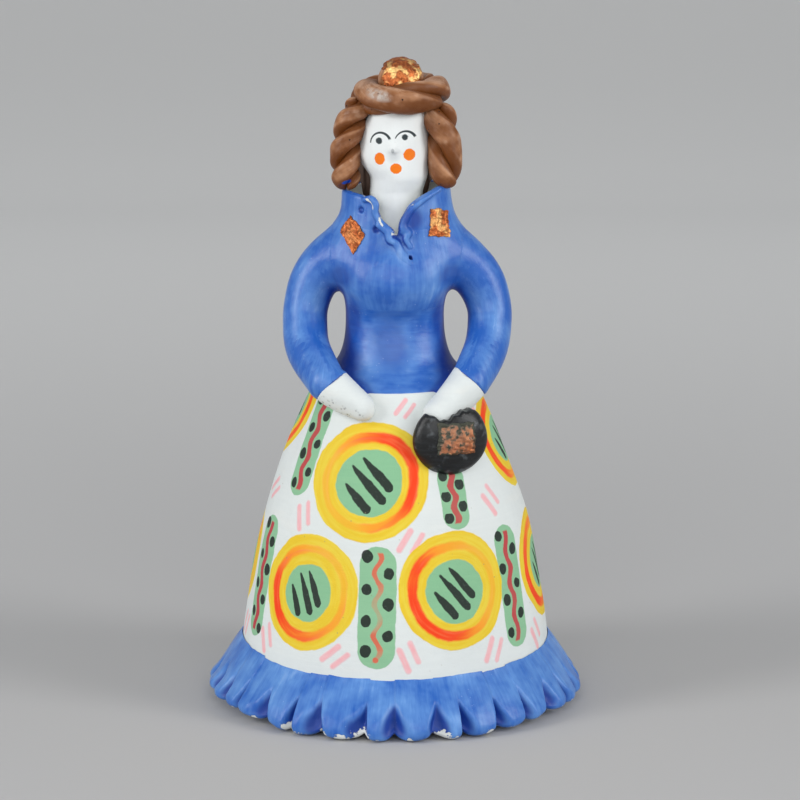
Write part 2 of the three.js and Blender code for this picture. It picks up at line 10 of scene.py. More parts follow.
import bpy
import numpy as np
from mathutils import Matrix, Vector


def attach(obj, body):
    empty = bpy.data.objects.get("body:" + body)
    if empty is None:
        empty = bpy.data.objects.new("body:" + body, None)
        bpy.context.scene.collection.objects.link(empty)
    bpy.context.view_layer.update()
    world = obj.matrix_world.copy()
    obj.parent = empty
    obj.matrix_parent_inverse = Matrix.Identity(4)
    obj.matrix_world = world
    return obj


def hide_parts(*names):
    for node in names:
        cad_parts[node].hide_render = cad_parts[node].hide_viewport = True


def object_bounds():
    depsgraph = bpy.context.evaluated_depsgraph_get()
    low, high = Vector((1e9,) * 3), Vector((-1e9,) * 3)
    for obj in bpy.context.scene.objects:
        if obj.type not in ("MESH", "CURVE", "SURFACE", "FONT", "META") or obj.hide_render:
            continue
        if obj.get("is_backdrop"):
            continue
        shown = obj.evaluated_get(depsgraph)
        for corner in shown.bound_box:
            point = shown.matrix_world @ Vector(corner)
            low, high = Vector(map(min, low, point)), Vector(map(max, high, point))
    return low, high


bl_info = {
    "name": "Painted clay lady",
    "version": (1, 0, 0),
    "blender": (4, 5, 0),
    "location": "3D View > Sidebar > Clay lady",
    "description": "Builds a hand-modelled and painted clay lady round her packed solids",
    "category": "Object",
}

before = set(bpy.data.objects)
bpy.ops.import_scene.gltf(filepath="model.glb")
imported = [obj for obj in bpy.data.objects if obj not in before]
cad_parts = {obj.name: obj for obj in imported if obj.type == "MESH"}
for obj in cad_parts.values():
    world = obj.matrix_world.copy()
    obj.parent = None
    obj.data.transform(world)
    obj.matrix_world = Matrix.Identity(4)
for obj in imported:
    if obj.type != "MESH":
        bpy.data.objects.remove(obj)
CAD_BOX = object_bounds()
MM = 0.001
DEGREE = math.pi / 180


def paint(red, green, blue):
    """A paint colour, given as it looks on screen, as the linear colour that shaders take."""
    share = [value / 255 for value in (red, green, blue)]
    return tuple(s / 12.92 if s <= 0.04045 else ((s + 0.055) / 1.055) ** 2.4 for s in share)


def mixable(colour):
    """A colour as shaders take it. Text names one of the paints, and three numbers are as on screen."""
    if isinstance(colour, str):
        return (*getattr(bpy.context.scene.clay_lady_paints, colour), 1.0)
    return (*paint(*colour), 1.0) if isinstance(colour, tuple) else colour


def length_setting(label, about, millimetres):
    """A length that the sidebar shows."""
    return bpy.props.FloatProperty(
        name=label, description=about, default=millimetres * MM, unit="LENGTH")


def colour_setting(label, about, *screen_colour):
    """A colour that the sidebar shows."""
    return bpy.props.FloatVectorProperty(
        name=label, description=about, default=paint(*screen_colour), subtype="COLOR", size=3, min=0, max=1)


# Numbers along a line


def through(stations):
    """A smooth function through stations, each [position, value, value, ...]."""
    rows = np.array(stations, float)
    places = rows[:, 0]
    before = np.vstack([rows[:1], rows[:-1]])
    after = np.vstack([rows[1:], rows[-1:]])
    slopes = (after - before)[:, 1:] / (after - before)[:, :1]
    values = rows[:, 1:]

    def at(position):
        position = np.asarray(position, float)
        i = np.clip(np.searchsorted(places, position, side="right") - 1, 0, len(rows) - 2)
        span = (places[i + 1] - places[i])[..., None]
        t = np.clip((position - places[i])[..., None] / span, 0, 1)
        rise = values[i + 1] - values[i]
        a = slopes[i] * span - rise
        b = rise - slopes[i + 1] * span
        return values[i] + rise * t + t * (1 - t) * (a * (1 - t) + b * t)

    return at


def smooth_path(points, count):
    """Points spread evenly in number along a smooth line through the given points."""
    points = np.array(points, float)
    line = through(np.column_stack([np.arange(len(points)), points]))
    return line(np.linspace(0, len(points) - 1, count))


# Sizes that the pieces share

# How far neighbouring lumps of the jacket overlap past the middle of a seam
LAP = 0.6
SEAT_HEIGHT = 106
# Height and outer radius, up the skirt
SKIRT = [[0, 51.6], [21, 50.3], [46, 46.5], [65, 42.2], [82, 36.4], [106, 26.2]]
CROWN_THICKNESS = 7
SKIRT_FACETS = 300

_skirt = through(SKIRT)


def skirt_radius(height):
    return _skirt(height)[..., 0]


def azimuth_of(points):
    """Degrees from the front towards +X."""
    return np.degrees(np.arctan2(points[..., 0], -points[..., 1]))


def over_skirt(azimuth, height, stand_off):
    """A point that stands off the skirt."""
    reach = float(skirt_radius(height)) + stand_off
    return np.array([reach * math.sin(azimuth * DEGREE), -reach * math.cos(azimuth * DEGREE), height])


# Clay as distances: a function of points gives their distance to its skin, below zero inside


def merge(a, b, soft):
    """Two lumps pressed together, with a fillet of about that size."""
    share = np.clip(0.5 + 0.5 * (b - a) / soft, 0, 1)
    return b * (1 - share) + a * share - soft * share * (1 - share)


def cut(a, b, soft):
    """What is inside both, with a rounded edge."""
    return -merge(-a, -b, soft)


def rope(points, path, radii):
    """Distance to a tapering rope of clay along a path, and how far along it is nearest, 0 to 1."""
    path = np.asarray(path, float)
    radii = np.broadcast_to(np.asarray(radii, float), len(path))
    best = np.full(len(points), np.inf)
    along = np.zeros(len(points))
    for i in range(len(path) - 1):
        line = path[i + 1] - path[i]
        t = np.clip((points - path[i]) @ line / (line @ line), 0, 1)
        gap = np.linalg.norm(points - path[i] - t[:, None] * line, axis=1)
        gap -= radii[i] + t * (radii[i + 1] - radii[i])
        closer = gap < best
        best = np.where(closer, gap, best)
        along = np.where(closer, (i + t) / (len(path) - 1), along)
    return best, along


def column(points, shape, low, high, grow=0.0):
    """Distance to a column of ellipses: shape(height) gives half width, half depth, forward and aside."""
    half_width, half_depth, forward, aside = shape(points[:, 2]).T
    half_width, half_depth = half_width + grow, half_depth + grow
    x, y = points[:, 0] - aside, points[:, 1] + forward
    reach = np.maximum(np.hypot(x / half_width, y / half_depth), 1e-3)
    slope = np.maximum(np.hypot(x / half_width**2, y / half_depth**2) / reach, 1e-3)
    ends = np.maximum(low - points[:, 2], points[:, 2] - high)
    return np.maximum((reach - 1) / slope, ends)


def ball(points, centre, radii):
    """Distance to an egg of clay, near enough to mesh it."""
    radii = np.asarray(radii, float)
    offset = (points - centre) / radii
    reach = np.maximum(np.linalg.norm(offset, axis=1), 1e-3)
    return (reach - 1) * reach / np.maximum(np.linalg.norm(offset / radii, axis=1), 1e-3)


def wobble(points, size, seed):
    """The slow unevenness of hand-pressed clay, about -1 to 1."""
    chance = np.random.default_rng(seed)
    total = np.zeros(len(points))
    waves = 7
    for _ in range(waves):
        wave = chance.normal(size=3) * 2.2 / size
        total += np.sin(points @ wave + chance.uniform(0, 2 * math.pi))
    return total / waves**0.5 / 1.2


def skin(distance, low, high, pitch):
    """The closed mesh where a distance is zero: its points and its four-sided faces. The distance is
    worked out finely only in the blocks of the grid that are near the skin."""
    block = 8
    low = np.array(low, float)
    blocks = np.ceil((np.array(high) - low) / (pitch * block)).astype(int)
    places = np.stack(np.meshgrid(*[np.arange(n) for n in blocks], indexing="ij"), -1)
    centres = low + (places * block + (block - 1) / 2) * pitch
    coarse = distance(centres.reshape(-1, 3)).reshape(blocks)

    def fill(values):
        for axis in range(3):
            values = values.repeat(block, axis)
        return values

    field = fill(np.where(coarse < 0, -1.0, 1.0))
    near = fill(np.abs(coarse) < block * pitch * 1.5)
    field[near] = distance(low + np.argwhere(near) * pitch)

    inside = field < 0
    size = np.array(field.shape) - 1
    corners = [inside[i:i + size[0], j:j + size[1], k:k + size[2]] for i, j, k in product((0, 1), repeat=3)]
    spots = np.argwhere(np.logical_or.reduce(corners) & ~np.logical_and.reduce(corners))
    number = np.full(size, -1)
    number[tuple(spots.T)] = np.arange(len(spots))

    total = np.zeros((len(spots), 3))
    hits = np.zeros(len(spots))
    units = np.eye(3, dtype=int)
    for axis in range(3):
        u, v = units[(axis + 1) % 3], units[(axis + 2) % 3]
        for shift in (0 * u, u, v, u + v):
            start, end = spots + shift, spots + shift + units[axis]
            a, b = field[tuple(start.T)], field[tuple(end.T)]
            crossed = (a < 0) != (b < 0)
            t = np.where(crossed, a / np.where(crossed, a - b, 1), 0)
            total += np.where(crossed[:, None], shift + t[:, None] * units[axis], 0)
            hits += crossed
    points = low + (spots + total / hits[:, None]) * pitch

    faces = []
    for axis in range(3):
        u, v = units[(axis + 1) % 3], units[(axis + 2) % 3]
        ahead = np.roll(inside, -1, axis)
        changes = inside != ahead
        changes[tuple(slice(-1, None) if n == axis else slice(None) for n in range(3))] = False
        edges = np.argwhere(changes)
        edges = edges[np.all((edges - u - v >= 0) & (edges < size), axis=1)]
        ring = [number[tuple((edges - shift).T)] for shift in (u + v, v, 0 * u, u)]
        quads = np.stack(ring, 1)
        outwards = inside[tuple(edges.T)]
        faces.append(np.where(outwards[:, None], quads, quads[:, ::-1]))
    return points, np.vstack(faces)


def normals_of(points, faces):
    """The direction out of the clay at each point of a mesh of four-sided faces."""
    a, b, c, d = (points[faces[:, i]] for i in range(4))
    across = np.cross(c - a, d - b)
    normals = np.zeros_like(points)
    for i in range(4):
        np.add.at(normals, faces[:, i], across)
    return normals / np.maximum(np.linalg.norm(normals, axis=1), 1e-9)[:, None]


def hollows(points, normals, distance):
    """How far each point lies in a hollow, 0 on open clay to about 1 in a deep one."""
    total = np.zeros(len(points))
    reaches = (1.2, 3.0, 6.0, 10.0)
    for reach in reaches:
        total += np.clip(1 - distance(points + normals * reach) / reach, 0, 1.3)
    return total / len(reaches)


# Pieces


def values_in(things, name, width=1, kind=float):
    """What each of Blender's things keeps under a name, as an array."""
    values = np.zeros(len(things) * width, kind)
    things.foreach_get(name, values)
    return values if width == 1 else values.reshape(-1, width)


def new_mesh(name, points, faces):
    """A smooth closed mesh from points in millimetres."""
    mesh = bpy.data.meshes.new(name)
    mesh.from_pydata((points * MM).tolist(), [], [list(map(int, face)) for face in faces])
    mesh.update()
    return turn_outwards(mesh)


def turn_outwards(mesh):
    """Turns a closed mesh right side out by the sign of its volume, and makes it smooth."""
    mesh.calc_loop_triangles()
    points = values_in(mesh.vertices, "co", 3)
    a, b, c = points[values_in(mesh.loop_triangles, "vertices", 3, int)].transpose(1, 0, 2)
    if np.einsum("ij,ij->", a, np.cross(b, c)) < 0:
        mesh.flip_normals()
    mesh.polygons.foreach_set("use_smooth", [True] * len(mesh.polygons))
    return mesh


def points_of(mesh):
    return values_in(mesh.vertices, "co", 3) / MM


def numbers_of(mesh, name):
    return values_in(mesh.attributes[name].data, "value", kind=np.float32)


def keep_number(mesh, name, values, domain="POINT"):
    """Stores one number for each point or face, which a material can read by name."""
    attribute = mesh.attributes.get(name) or mesh.attributes.new(name, "FLOAT", domain)
    attribute.data.foreach_set("value", np.asarray(values, np.float32))


def keep_map(mesh, name, values):
    """Stores a UV map from two numbers for each point, or for each face corner."""
    values = np.asarray(values, np.float32)
    if len(values) == len(mesh.vertices):
        values = values[values_in(mesh.loops, "vertex_index", kind=int)]
    layer = mesh.uv_layers.get(name) or mesh.uv_layers.new(name=name)
    layer.data.foreach_set("uv", values.ravel())


def dip(place):
    """How far a piece sinks under its neighbour, where place is how far it is past the seam."""
    return 0.12 * np.clip((place + LAP) / (2 * LAP), 0, 1)


def finish_piece(name, mesh, material, slot, *nodes):
    """Links a finished mesh as a piece that rides on the figure and stands for CAD nodes."""
    piece = bpy.data.objects.new(name, mesh)
    bpy.context.scene.collection.objects.link(piece)
    mesh.materials.clear()
    mesh.materials.append(material)
    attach(piece, "root")
    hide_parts(*nodes)
    return piece


def clay_piece(name, distance, low, high, pitch, material, slot, *nodes, around=None, strokes=None):
    """A piece meshed from its distance, with how hollow each point lies and its brush directions."""
    points, faces = skin(distance, low, high, pitch)
    mesh = new_mesh(name, points, faces)
    normals = normals_of(points, faces)
    keep_number(mesh, "hollow", hollows(points, normals, around or distance))
    if strokes:
        keep_map(mesh, "strokes", strokes(points))
    return finish_piece(name, mesh, material, slot, *nodes)


# Node trees, for materials and for geometry alike


def node_of(operation, turned_round=False):
    """A method that makes a math node of a value and another."""
    def method(self, other):
        pair = (other, self) if turned_round else (self, other)
        return self.graph.math(operation, *pair)

    return method


class Value:
    """A socket that formulas can use like a number."""

    def __init__(self, graph, socket):
        self.graph, self.socket = graph, socket

    __add__ = __radd__ = node_of("ADD")
    __mul__ = __rmul__ = node_of("MULTIPLY")
    __sub__, __rsub__ = node_of("SUBTRACT"), node_of("SUBTRACT", True)
    __truediv__, __pow__ = node_of("DIVIDE"), node_of("POWER")

    def __abs__(self):
        return self.graph.math("ABSOLUTE", self)

    def __neg__(self):
        return self * -1

    def output(self, name):
        return Value(self.graph, self.socket.node.outputs[name])


class Graph:
    """Adds nodes to a node tree and joins them."""

    def __init__(self, tree):
        self.tree = tree

    def put(self, socket, value):
        if isinstance(value, Value):
            self.tree.links.new(value.socket, socket)
        else:
            socket.default_value = value

    def node(self, kind, inputs=(), output=0, **settings):
        node = self.tree.nodes.new(kind)
        for name, value in settings.items():
            setattr(node, name, value)
        for name, value in dict(inputs).items():
            self.put(node.inputs[name], value)
        return Value(self, node.outputs[output])

    def math(self, operation, *values, clamp=False):
        return self.node("ShaderNodeMath", enumerate(values), operation=operation, use_clamp=clamp)

    def clamp(self, value):
        return self.math("ADD", value, 0.0, clamp=True)

    def largest(self, first, *others):
        for other in others:
            first = self.math("MAXIMUM", first, other)
        return first

    def length(self, x, y):
        return self.math("SQRT", x * x + y * y)

    def step(self, value, low, high):
        """0 below low to 1 above high, smoothly."""
        names = {"Value": value, "From Min": low, "From Max": high}
        return self.node("ShaderNodeMapRange", names, interpolation_type="SMOOTHSTEP")

    def under(self, value, limit, soft):
        """1 where a value is under a limit, with an edge that is soft over that width."""
        return self.clamp((limit - value) / soft + 0.5)

    def colour(self, base, *layers):
        """A colour with others laid over it, each given as its share and itself."""
        for share, colour in layers:
            parts = {0: share, 6: mixable(base), 7: mixable(colour)}
            base = self.node("ShaderNodeMix", parts, 2, data_type="RGBA")
        return base

    def vector(self, x=0.0, y=0.0, z=0.0):
        return self.node("ShaderNodeCombineXYZ", {0: x, 1: y, 2: z})

    def split(self, vector):
        x = self.node("ShaderNodeSeparateXYZ", {0: vector})
        return x, x.output(1), x.output(2)

    def vectors(self, operation, *values):
        return self.node("ShaderNodeVectorMath", enumerate(values), operation=operation)

    def scaled(self, vector, *factors):
        """A vector times one number, or times one for each axis."""
        return self.vectors("MULTIPLY", vector, factors if len(factors) == 3 else factors * 3)

    def moved(self, vector, shift):
        return self.vectors("ADD", vector, shift)

    def noise(self, vector, scale, detail=2.0, roughness=0.5):
        names = {"Vector": vector, "Scale": scale, "Detail": detail, "Roughness": roughness}
        return self.node("ShaderNodeTexNoise", names)

    def uneven(self, vector, shift, *scale):
        """Noise about zero, with its grain set by the scale and its place by the shift."""
        return self.noise(self.moved(self.scaled(vector, *scale), shift), 1.0, 2.0) - 0.5

    def spots(self, vector, scale):
        """Distance to the nearest of scattered spots."""
        return self.node("ShaderNodeTexVoronoi", {"Vector": vector, "Scale": scale})

    def use(self, group, **inputs):
        return self.node("ShaderNodeGroup", inputs, node_tree=group)

    def number(self, name):
        return self.node("ShaderNodeAttribute", output="Fac", attribute_name=name)

    def map(self, name):
        return self.node("ShaderNodeUVMap", uv_map=name)

    def place(self):
        """Object coordinates in millimetres."""
        return self.scaled(self.node("ShaderNodeTexCoord", output="Object"), 1000.0)


def shader_group(formula, inputs, outputs):
    """A shader node group of a formula, which gets the inputs and returns the outputs, in order. An
    input without a number is a vector."""
    tree = bpy.data.node_groups.new(formula.__name__, "ShaderNodeTree")
    for label, value in inputs.items():
        kind = "NodeSocketVector" if value is None else "NodeSocketFloat"
        socket = tree.interface.new_socket(label, in_out="INPUT", socket_type=kind)
        if value is not None:
            socket.default_value = value
    for label in outputs:
        tree.interface.new_socket(label, in_out="OUTPUT", socket_type="NodeSocketFloat")
    graph = Graph(tree)
    source, sink = tree.nodes.new("NodeGroupInput"), tree.nodes.new("NodeGroupOutput")
    results = formula(graph, *[Value(graph, socket) for socket in source.outputs if socket.name])
    for socket, value in zip(sink.inputs, results):
        graph.put(socket, value)
    return tree


# Effects that several materials share


def brushwork(g, strokes, place, length, width):
    """Streaks along the brush strokes, and patches where the brush was loaded or nearly dry."""
    x, y, _ = g.split(strokes)
    bend = g.noise(place, 0.05, 1.0) * 6
    streak = g.noise(g.vector(x / width + bend * 0.2, y / length, bend), 1.0, 5.0, 0.62)
    patch = g.noise(g.vector(x / (width * 4), y / (length * 0.7), 4.0), 1.0, 2.0, 0.5)
    return streak, patch


def clay_relief(g, place, streak):
    """Height of finger dents, brush ridges and grain, in millimetres."""
    dents = g.noise(place, 0.11, 2.0) * 0.55
    grain = g.noise(place, 2.4, 3.0, 0.6) * 0.05
    return (dents + grain + streak * 0.07,)


def edge_wear(g, place, edge, amount):
    """Chips along edges, where the paint has come off."""
    broken = g.noise(place, 0.42, 3.0, 0.62)
    fine = g.noise(place, 1.6, 2.0, 0.6)
    depth = broken * 0.72 + fine * 0.28 + edge * amount
    return (g.step(depth, 0.78, 0.81),)


def specks(g, place, amount):
    """Pinholes and specks of dirt."""
    gap = g.spots(place, 0.26)
    chosen = g.step(g.noise(place, 0.09, 1.0), 0.5, 0.6)
    return (g.under(gap, amount, 0.05) * chosen,)


USUAL_GREEN = 0.57
# From the end of a dotted band to the middle of its first dot
FIRST_DOT = 3.4


def target_circle(g, spot, seed, green, hot, lean):
    """A painted target: masks of its yellow, red ring, green middle and black strokes, the ring's heat
    and the sweep of the brush. The ring is reddest towards the angle hot, and the strokes lean."""
    x, y, _ = g.split(spot)
    shift = g.vector(seed * 7.3, seed * 3.1, seed * 5.7)
    rough, fine = g.uneven(spot, shift, 1.6, 1.6, 0.0), g.uneven(spot, shift, 9.0, 9.0, 0.0)
    reach = g.length(x, y)
    r = reach + rough * 0.12 + fine * 0.03
    across, up = x / g.largest(reach, 0.05), y / g.largest(reach, 0.05)
    turn = g.vector(across, up, seed * 9.1)
    drift = g.noise(turn, 0.8, 1.0)
    sweep = g.noise(g.moved(g.scaled(turn, 1.1, 1.1, 1.0), g.vector(0.0, 0.0, reach * 14)), 1.0, 3.0)
    warm = across * g.math("COSINE", hot) + up * g.math("SINE", hot) + (drift - 0.5) * 1.6
    ring_width = 0.04 + g.noise(turn, 1.3, 1.0) * 0.045 + g.step(warm, -1.0, 1.0) * 0.028
    ring = g.under(abs(r - 0.76 - (drift - 0.5) * 0.05), ring_width, 0.04)
    ring = ring * (0.4 + g.step(warm + (sweep - 0.5) * 0.5, -1.1, -0.1) * 0.6)
    heat = g.step(warm + (sweep - 0.5) * 1.3, -0.3, 0.8)
    middle = g.under(r - (drift - 0.5) * 0.06, green, 0.02)
    size = green / USUAL_GREEN
    lean_x, lean_y = g.math("COSINE", lean), -g.math("SINE", lean)
    along, beside = (x * lean_x + y * lean_y) / size, (y * lean_x - x * lean_y) / size
    strokes = []
    for side, start, half in ((0.2, -0.02, 0.385), (-0.02, 0.01, 0.44), (-0.3, 0.06, 0.33)):
        share = (along - start) / half
        taper = g.math("SQRT", g.clamp((share + 1) * 0.9)) * g.math("SQRT", g.clamp((1 - share) * 6))
        off = abs(beside - side + rough * 0.05) + fine * 0.03
        strokes.append(g.under(off, taper * 0.075, 0.014) * g.step(taper, 0.1, 0.3))
    return g.under(r, 1.0, 0.02), ring, middle, g.largest(*strokes), heat, sweep


def dotted_band(g, spot, half_width, half_length, seed, fade, pitch):
    """A painted band: masks of its green, its wavy line and its dots. The dots take turns at both sides,
    the topmost at the left, and the line keeps to their hollows."""
    x, y, _ = g.split(spot)
    shift = g.vector(seed * 4.3, seed * 8.1, seed * 2.7)
    rough, fine = g.uneven(spot, shift, 0.22, 0.16, 0.0), g.uneven(spot, shift, 1.0)
    past = g.largest(abs(y) - (half_length - half_width), 0.0)
    band = g.under(g.length(x, past) + rough * 1.1 + fine * 0.25, half_width, 0.25)
    slide = (half_length - FIRST_DOT - y) / pitch + 0.5 + rough * 0.35
    cell = g.math("FLOOR", slide)
    side = 2 * g.math("FLOORED_MODULO", cell, 2.0) - 1
    chance = g.node("ShaderNodeTexWhiteNoise", {"Vector": g.vector(cell, seed * 31)}, noise_dimensions="3D")
    in_cell = (slide - cell - 0.5) * pitch + (chance - 0.5) * 0.9
    size = (0.85 + half_width * 0.155) * (0.88 + chance * 0.22)
    dot = g.length(x - side * half_width * 0.58, in_cell * 0.92) + fine * 0.35
    depth = cell * pitch + FIRST_DOT
    within = g.step(cell, -0.6, -0.4) * g.step(depth, 2 * half_length - 1.6, 2 * half_length - 2.2)
    dots = g.under(dot, size, 0.16) * within
    swing = half_width * (0.13 + fade * 0.05)
    wave = g.math("SINE", slide * math.pi) * swing + rough * 1.2
    line = g.under(abs(x - wave) + fine * 0.4, 1.2 - fade * 0.35 + rough * 0.4, 0.3)
    line = line * g.under(abs(y), half_length - 2.0, 0.5)
    worn = g.step(g.noise(g.moved(g.scaled(spot, 0.06, 0.09, 0.0), shift), 1.0, 2.0), 0.36, 0.66)
    line = line * (1 - worn * fade * g.step(y, half_length, -half_length * 0.3) * 0.75)
    foot = g.under(g.length(x + 0.2, y + half_length - 2.9), 0.95, 0.3) * g.step(fade, 0.5, 0.6)
    return band, g.largest(line, foot), dots


def dash_pair(g, spot, seed):
    """Two pink strokes side by side: how thick the paint is."""
    x, y, _ = g.split(spot)
    shift = g.vector(seed * 6.1, seed * 2.3, 0.0)
    fine = g.noise(g.moved(g.scaled(spot, 1.1, 0.35, 0.0), shift), 1.0, 3.0)
    marks = []
    for side, start, half, wide in ((-1.9, -0.5, 4.3, 0.95), (1.9, 0.6, 3.9, 0.82)):
        past = g.largest(abs(y - start) - (half - wide), 0.0)
        gap = g.length(x - side + (y - start) * (seed - 0.5) * 0.14, past)
        marks.append(g.under(gap + (fine - 0.5) * 0.7, wide, 0.55))
    return (g.largest(*marks) * (0.45 + fine * 0.8),)


def dot_at(g, x, z, place, radii, soft=0.12):
    """A painted dot on the face."""
    return g.under(g.length((x - place[0]) / radii[0], (z - place[1]) / radii[1]), 1.0, soft)


def streak_at(g, x, z, start, end, width):
    """A short painted streak on the face, from one point to another."""
    run = (end[0] - start[0], end[1] - start[1])
    length = math.hypot(*run)
    u = ((x - start[0]) * run[0] + (z - start[1]) * run[1]) / length**2
    off = ((x - start[0]) * run[1] - (z - start[1]) * run[0]) / length
    return g.under(abs(off), width, 0.25) * g.step(u, -0.1, 0.2) * g.step(u, 1.1, 0.8)


def arched_brow(g, x, z, middle, radii, ends, width):
    """A thin brow along part of an ellipse, thicker towards its right end."""
    u, v = (x - middle[0]) / radii[0], (z - middle[1]) / radii[1]
    angle = g.math("ARCTAN2", v, u)
    share = (ends[1] - angle) / (ends[1] - ends[0])
    within = g.step(share, -0.03, 0.03) * g.step(share, 1.04, 0.97)
    thick = width * (0.45 + 0.75 * share)
    return g.under(abs(g.length(u, v) - 1) * radii[0], thick, 0.16) * within


class Paints(bpy.types.PropertyGroup):
    """Colours of the paints and the leaf."""

    white: colour_setting("Whitewash", "Chalky white of skirt, head and hands", 230, 235, 233)
    blue: colour_setting("Blue", "Jacket and frill, where the paint is thin", 105, 156, 222)
    deep_blue: colour_setting("Deep blue", "Jacket and frill, where the paint is thick", 38, 98, 188)
    # Pooled blue is also the painted shade in the hollows and in the listed dark spots of the jacket's front.
    pooled_and_shaded_blue: colour_setting("Pooled blue", "Blue that has run into the hollows", 0, 50, 148)
    brown: colour_setting("Brown", "Hair", 138, 84, 42)
    # Worn brown is the hair's rubbed paint and its painted highlight on faces that look up; amber is its
    # painted shade in creases and on undersides.
    rubbed_and_lit_brown: colour_setting("Worn brown", "Hair, where it is rubbed", 206, 168, 142)
    amber_shade: colour_setting("Amber", "Hair, in its creases", 112, 58, 10)
    dark: colour_setting("Dark hair", "Hair at the back of the neck", 44, 34, 32)
    black: colour_setting("Black", "Strokes and dots of the pattern", 24, 27, 28)
    bag_black: colour_setting("Bag black", "Bag", 15, 16, 17)
    yellow: colour_setting("Yellow", "Targets of the pattern", 238, 200, 0)
    red: colour_setting("Orange red", "Ring of the targets", 252, 66, 10)
    orange: colour_setting("Orange", "Cheeks and mouth", 252, 134, 0)
    green: colour_setting("Green", "Middles and bands of the pattern", 146, 198, 154)
    crimson: colour_setting("Crimson", "Wavy lines of the bands", 190, 46, 66)
    pink: colour_setting("Pink", "Pairs of strokes", 250, 172, 178)
    leaf: colour_setting("Leaf", "Copper-coloured leaf", 214, 122, 66)
    bare_clay: colour_setting("Bare clay", "Fired clay inside the skirt", 206, 190, 170)


class Finish:
    """The materials, made once for all the pieces."""

    def __init__(self):
        self.brushwork = shader_group(
            brushwork, {"Strokes": None, "Place": None, "Length": 22.0, "Width": 1.6}, ("Streak", "Patch"))
        self.relief = shader_group(clay_relief, {"Place": None, "Streak": 0.5}, ("Height",))
        self.wear = shader_group(edge_wear, {"Place": None, "Edge": 0.0, "Amount": 0.3}, ("Chips",))
        self.specks = shader_group(specks, {"Place": None, "Amount": 0.08}, ("Specks",))
        self.target = shader_group(
            target_circle, {"Spot": None, "Seed": 0.5, "Green": USUAL_GREEN, "Hot": 0.0, "Lean": 0.9},
            ("Disc", "Ring", "Middle", "Strokes", "Heat", "Sweep"))
        self.band = shader_group(
            dotted_band,
            {"Spot": None, "Width": 5.0, "Length": 15.0, "Seed": 0.5, "Fade": 0.0, "Pitch": 5.0},
            ("Band", "Line", "Dots"))
        self.dash = shader_group(dash_pair, {"Spot": None, "Seed": 0.5}, ("Paint",))
        for name, formula, specular in (
            ("skirt_paint", self.skirt, 0.3), ("face_paint", self.face, 0.35),
            ("hand_paint", self.hand, 0.3), ("jacket_paint", self.jacket, 0.5),
            ("frill_paint", self.frill, 0.4), ("hair_paint", self.hair, 0.4),
            ("back_hair_paint", self.back_hair, 0.35), ("bag_paint", self.bag, 0.45),
            ("leaf_metal", self.leaf, 0.5),
        ):
            setattr(self, name, self.material(name, formula, specular))

    @staticmethod
    def material(name, formula, specular, **constants):
        """A material. The formula returns the shader's inputs that change over the surface."""
        made = bpy.data.materials.new(name)
        made.use_nodes = True
        made.node_tree.nodes.clear()
        g = Graph(made.node_tree)
        results = formula(g)
        if "Height" in results:
            results["Normal"] = g.node(
                "ShaderNodeBump", {"Height": results.pop("Height"), "Distance": MM, "Strength": 1.0})
        constants["Specular IOR Level"] = specular
        shader = g.node("ShaderNodeBsdfPrincipled", {**results, **constants})
        sink = made.node_tree.nodes.new("ShaderNodeOutputMaterial")
        made.node_tree.links.new(shader.socket, sink.inputs["Surface"])
        return made

    def brushed(self, g, place, length, width):
        return g.use(self.brushwork, Strokes=g.map("strokes"), Place=place, Length=length, Width=width)

    def dents(self, g, place, streak):
        return g.use(self.relief, Place=place, Streak=streak)

    def speckled(self, g, place, scale, amount):
        return g.use(self.specks, Place=g.scaled(place, scale), Amount=amount)

    def motif(self, g, kind, *names):
        """One kind of painted motif, from the map and the numbers that the mesh keeps for it."""
        numbers = {name.capitalize(): g.number(f"{kind}_{name}") for name in names}
        return g.use(getattr(self, kind), Spot=g.map(kind), **numbers)

    def chalky(self, g, place, length, width):
        """Whitewash laid on with a brush: its colour, and its streaks for the relief."""
        streak = self.brushed(g, place, length, width)
        patch = g.step(streak.output("Patch"), 0.5, 0.8)
        return g.colour("white", (streak * 0.45, (214, 220, 220)), (patch * 0.3, (238, 236, 228))), streak

    def skirt(self, g):
        place = g.place()
        chalk, streak = self.chalky(g, place, 34.0, 1.2)
        dash = self.motif(g, "dash", "seed")
        band = self.motif(g, "band", "width", "length", "seed", "fade", "pitch")
        disc = self.motif(g, "target", "seed", "green", "hot", "lean")
        sweep = disc.output("Sweep")
        green = g.colour("green", (streak * 0.7, (126, 184, 142)))
        crimson = g.colour("crimson", (g.number("band_fade"), (222, 104, 78)))
        yellow = g.colour("yellow", (g.step(sweep, 0.35, 0.7), (240, 212, 50)))
        red = g.colour((255, 160, 40), (disc.output("Heat"), "red"),
                       (g.step(sweep, 0.45, 0.8) * 0.55, (255, 138, 84)))
        black = g.colour("black", (g.step(g.noise(place, 1.3, 3.0), 0.55, 0.75) * 0.5, (64, 72, 68)))
        bare = g.colour("bare_clay", (g.step(g.noise(place, 0.06, 4.0), 0.35, 0.65), (224, 218, 206)))
        colour = g.colour(
            chalk, (g.clamp(dash * 0.9), "pink"), (band * 0.96, green), (band.output("Line") * 0.95, crimson),
            (disc * 0.97, yellow), (disc.output("Ring"), red), (disc.output("Middle"), green),
            (g.largest(band.output("Dots"), disc.output("Strokes")) * 0.96, black),
            (self.speckled(g, place, 1.0, 0.06) * 0.6, (150, 140, 112)), (g.number("inside"), bare))
        height = self.dents(g, place, streak) + (disc + band + dash) * 0.05
        return {"Base Color": colour, "Height": height, "Roughness": 0.66 - streak * 0.1}

    def face(self, g):
        place = g.place()
        x, y, z = g.split(place)
        chalk, streak = self.chalky(g, place, 16.0, 1.0)
        edge = g.noise(place, 1.5, 2.0) - 0.5
        front = g.math("LESS_THAN", y, 0.0)

        def dots(sway, soft, *spots):
            return g.largest(*[dot_at(g, x + edge * sway, z, *spot, soft) for spot in spots])

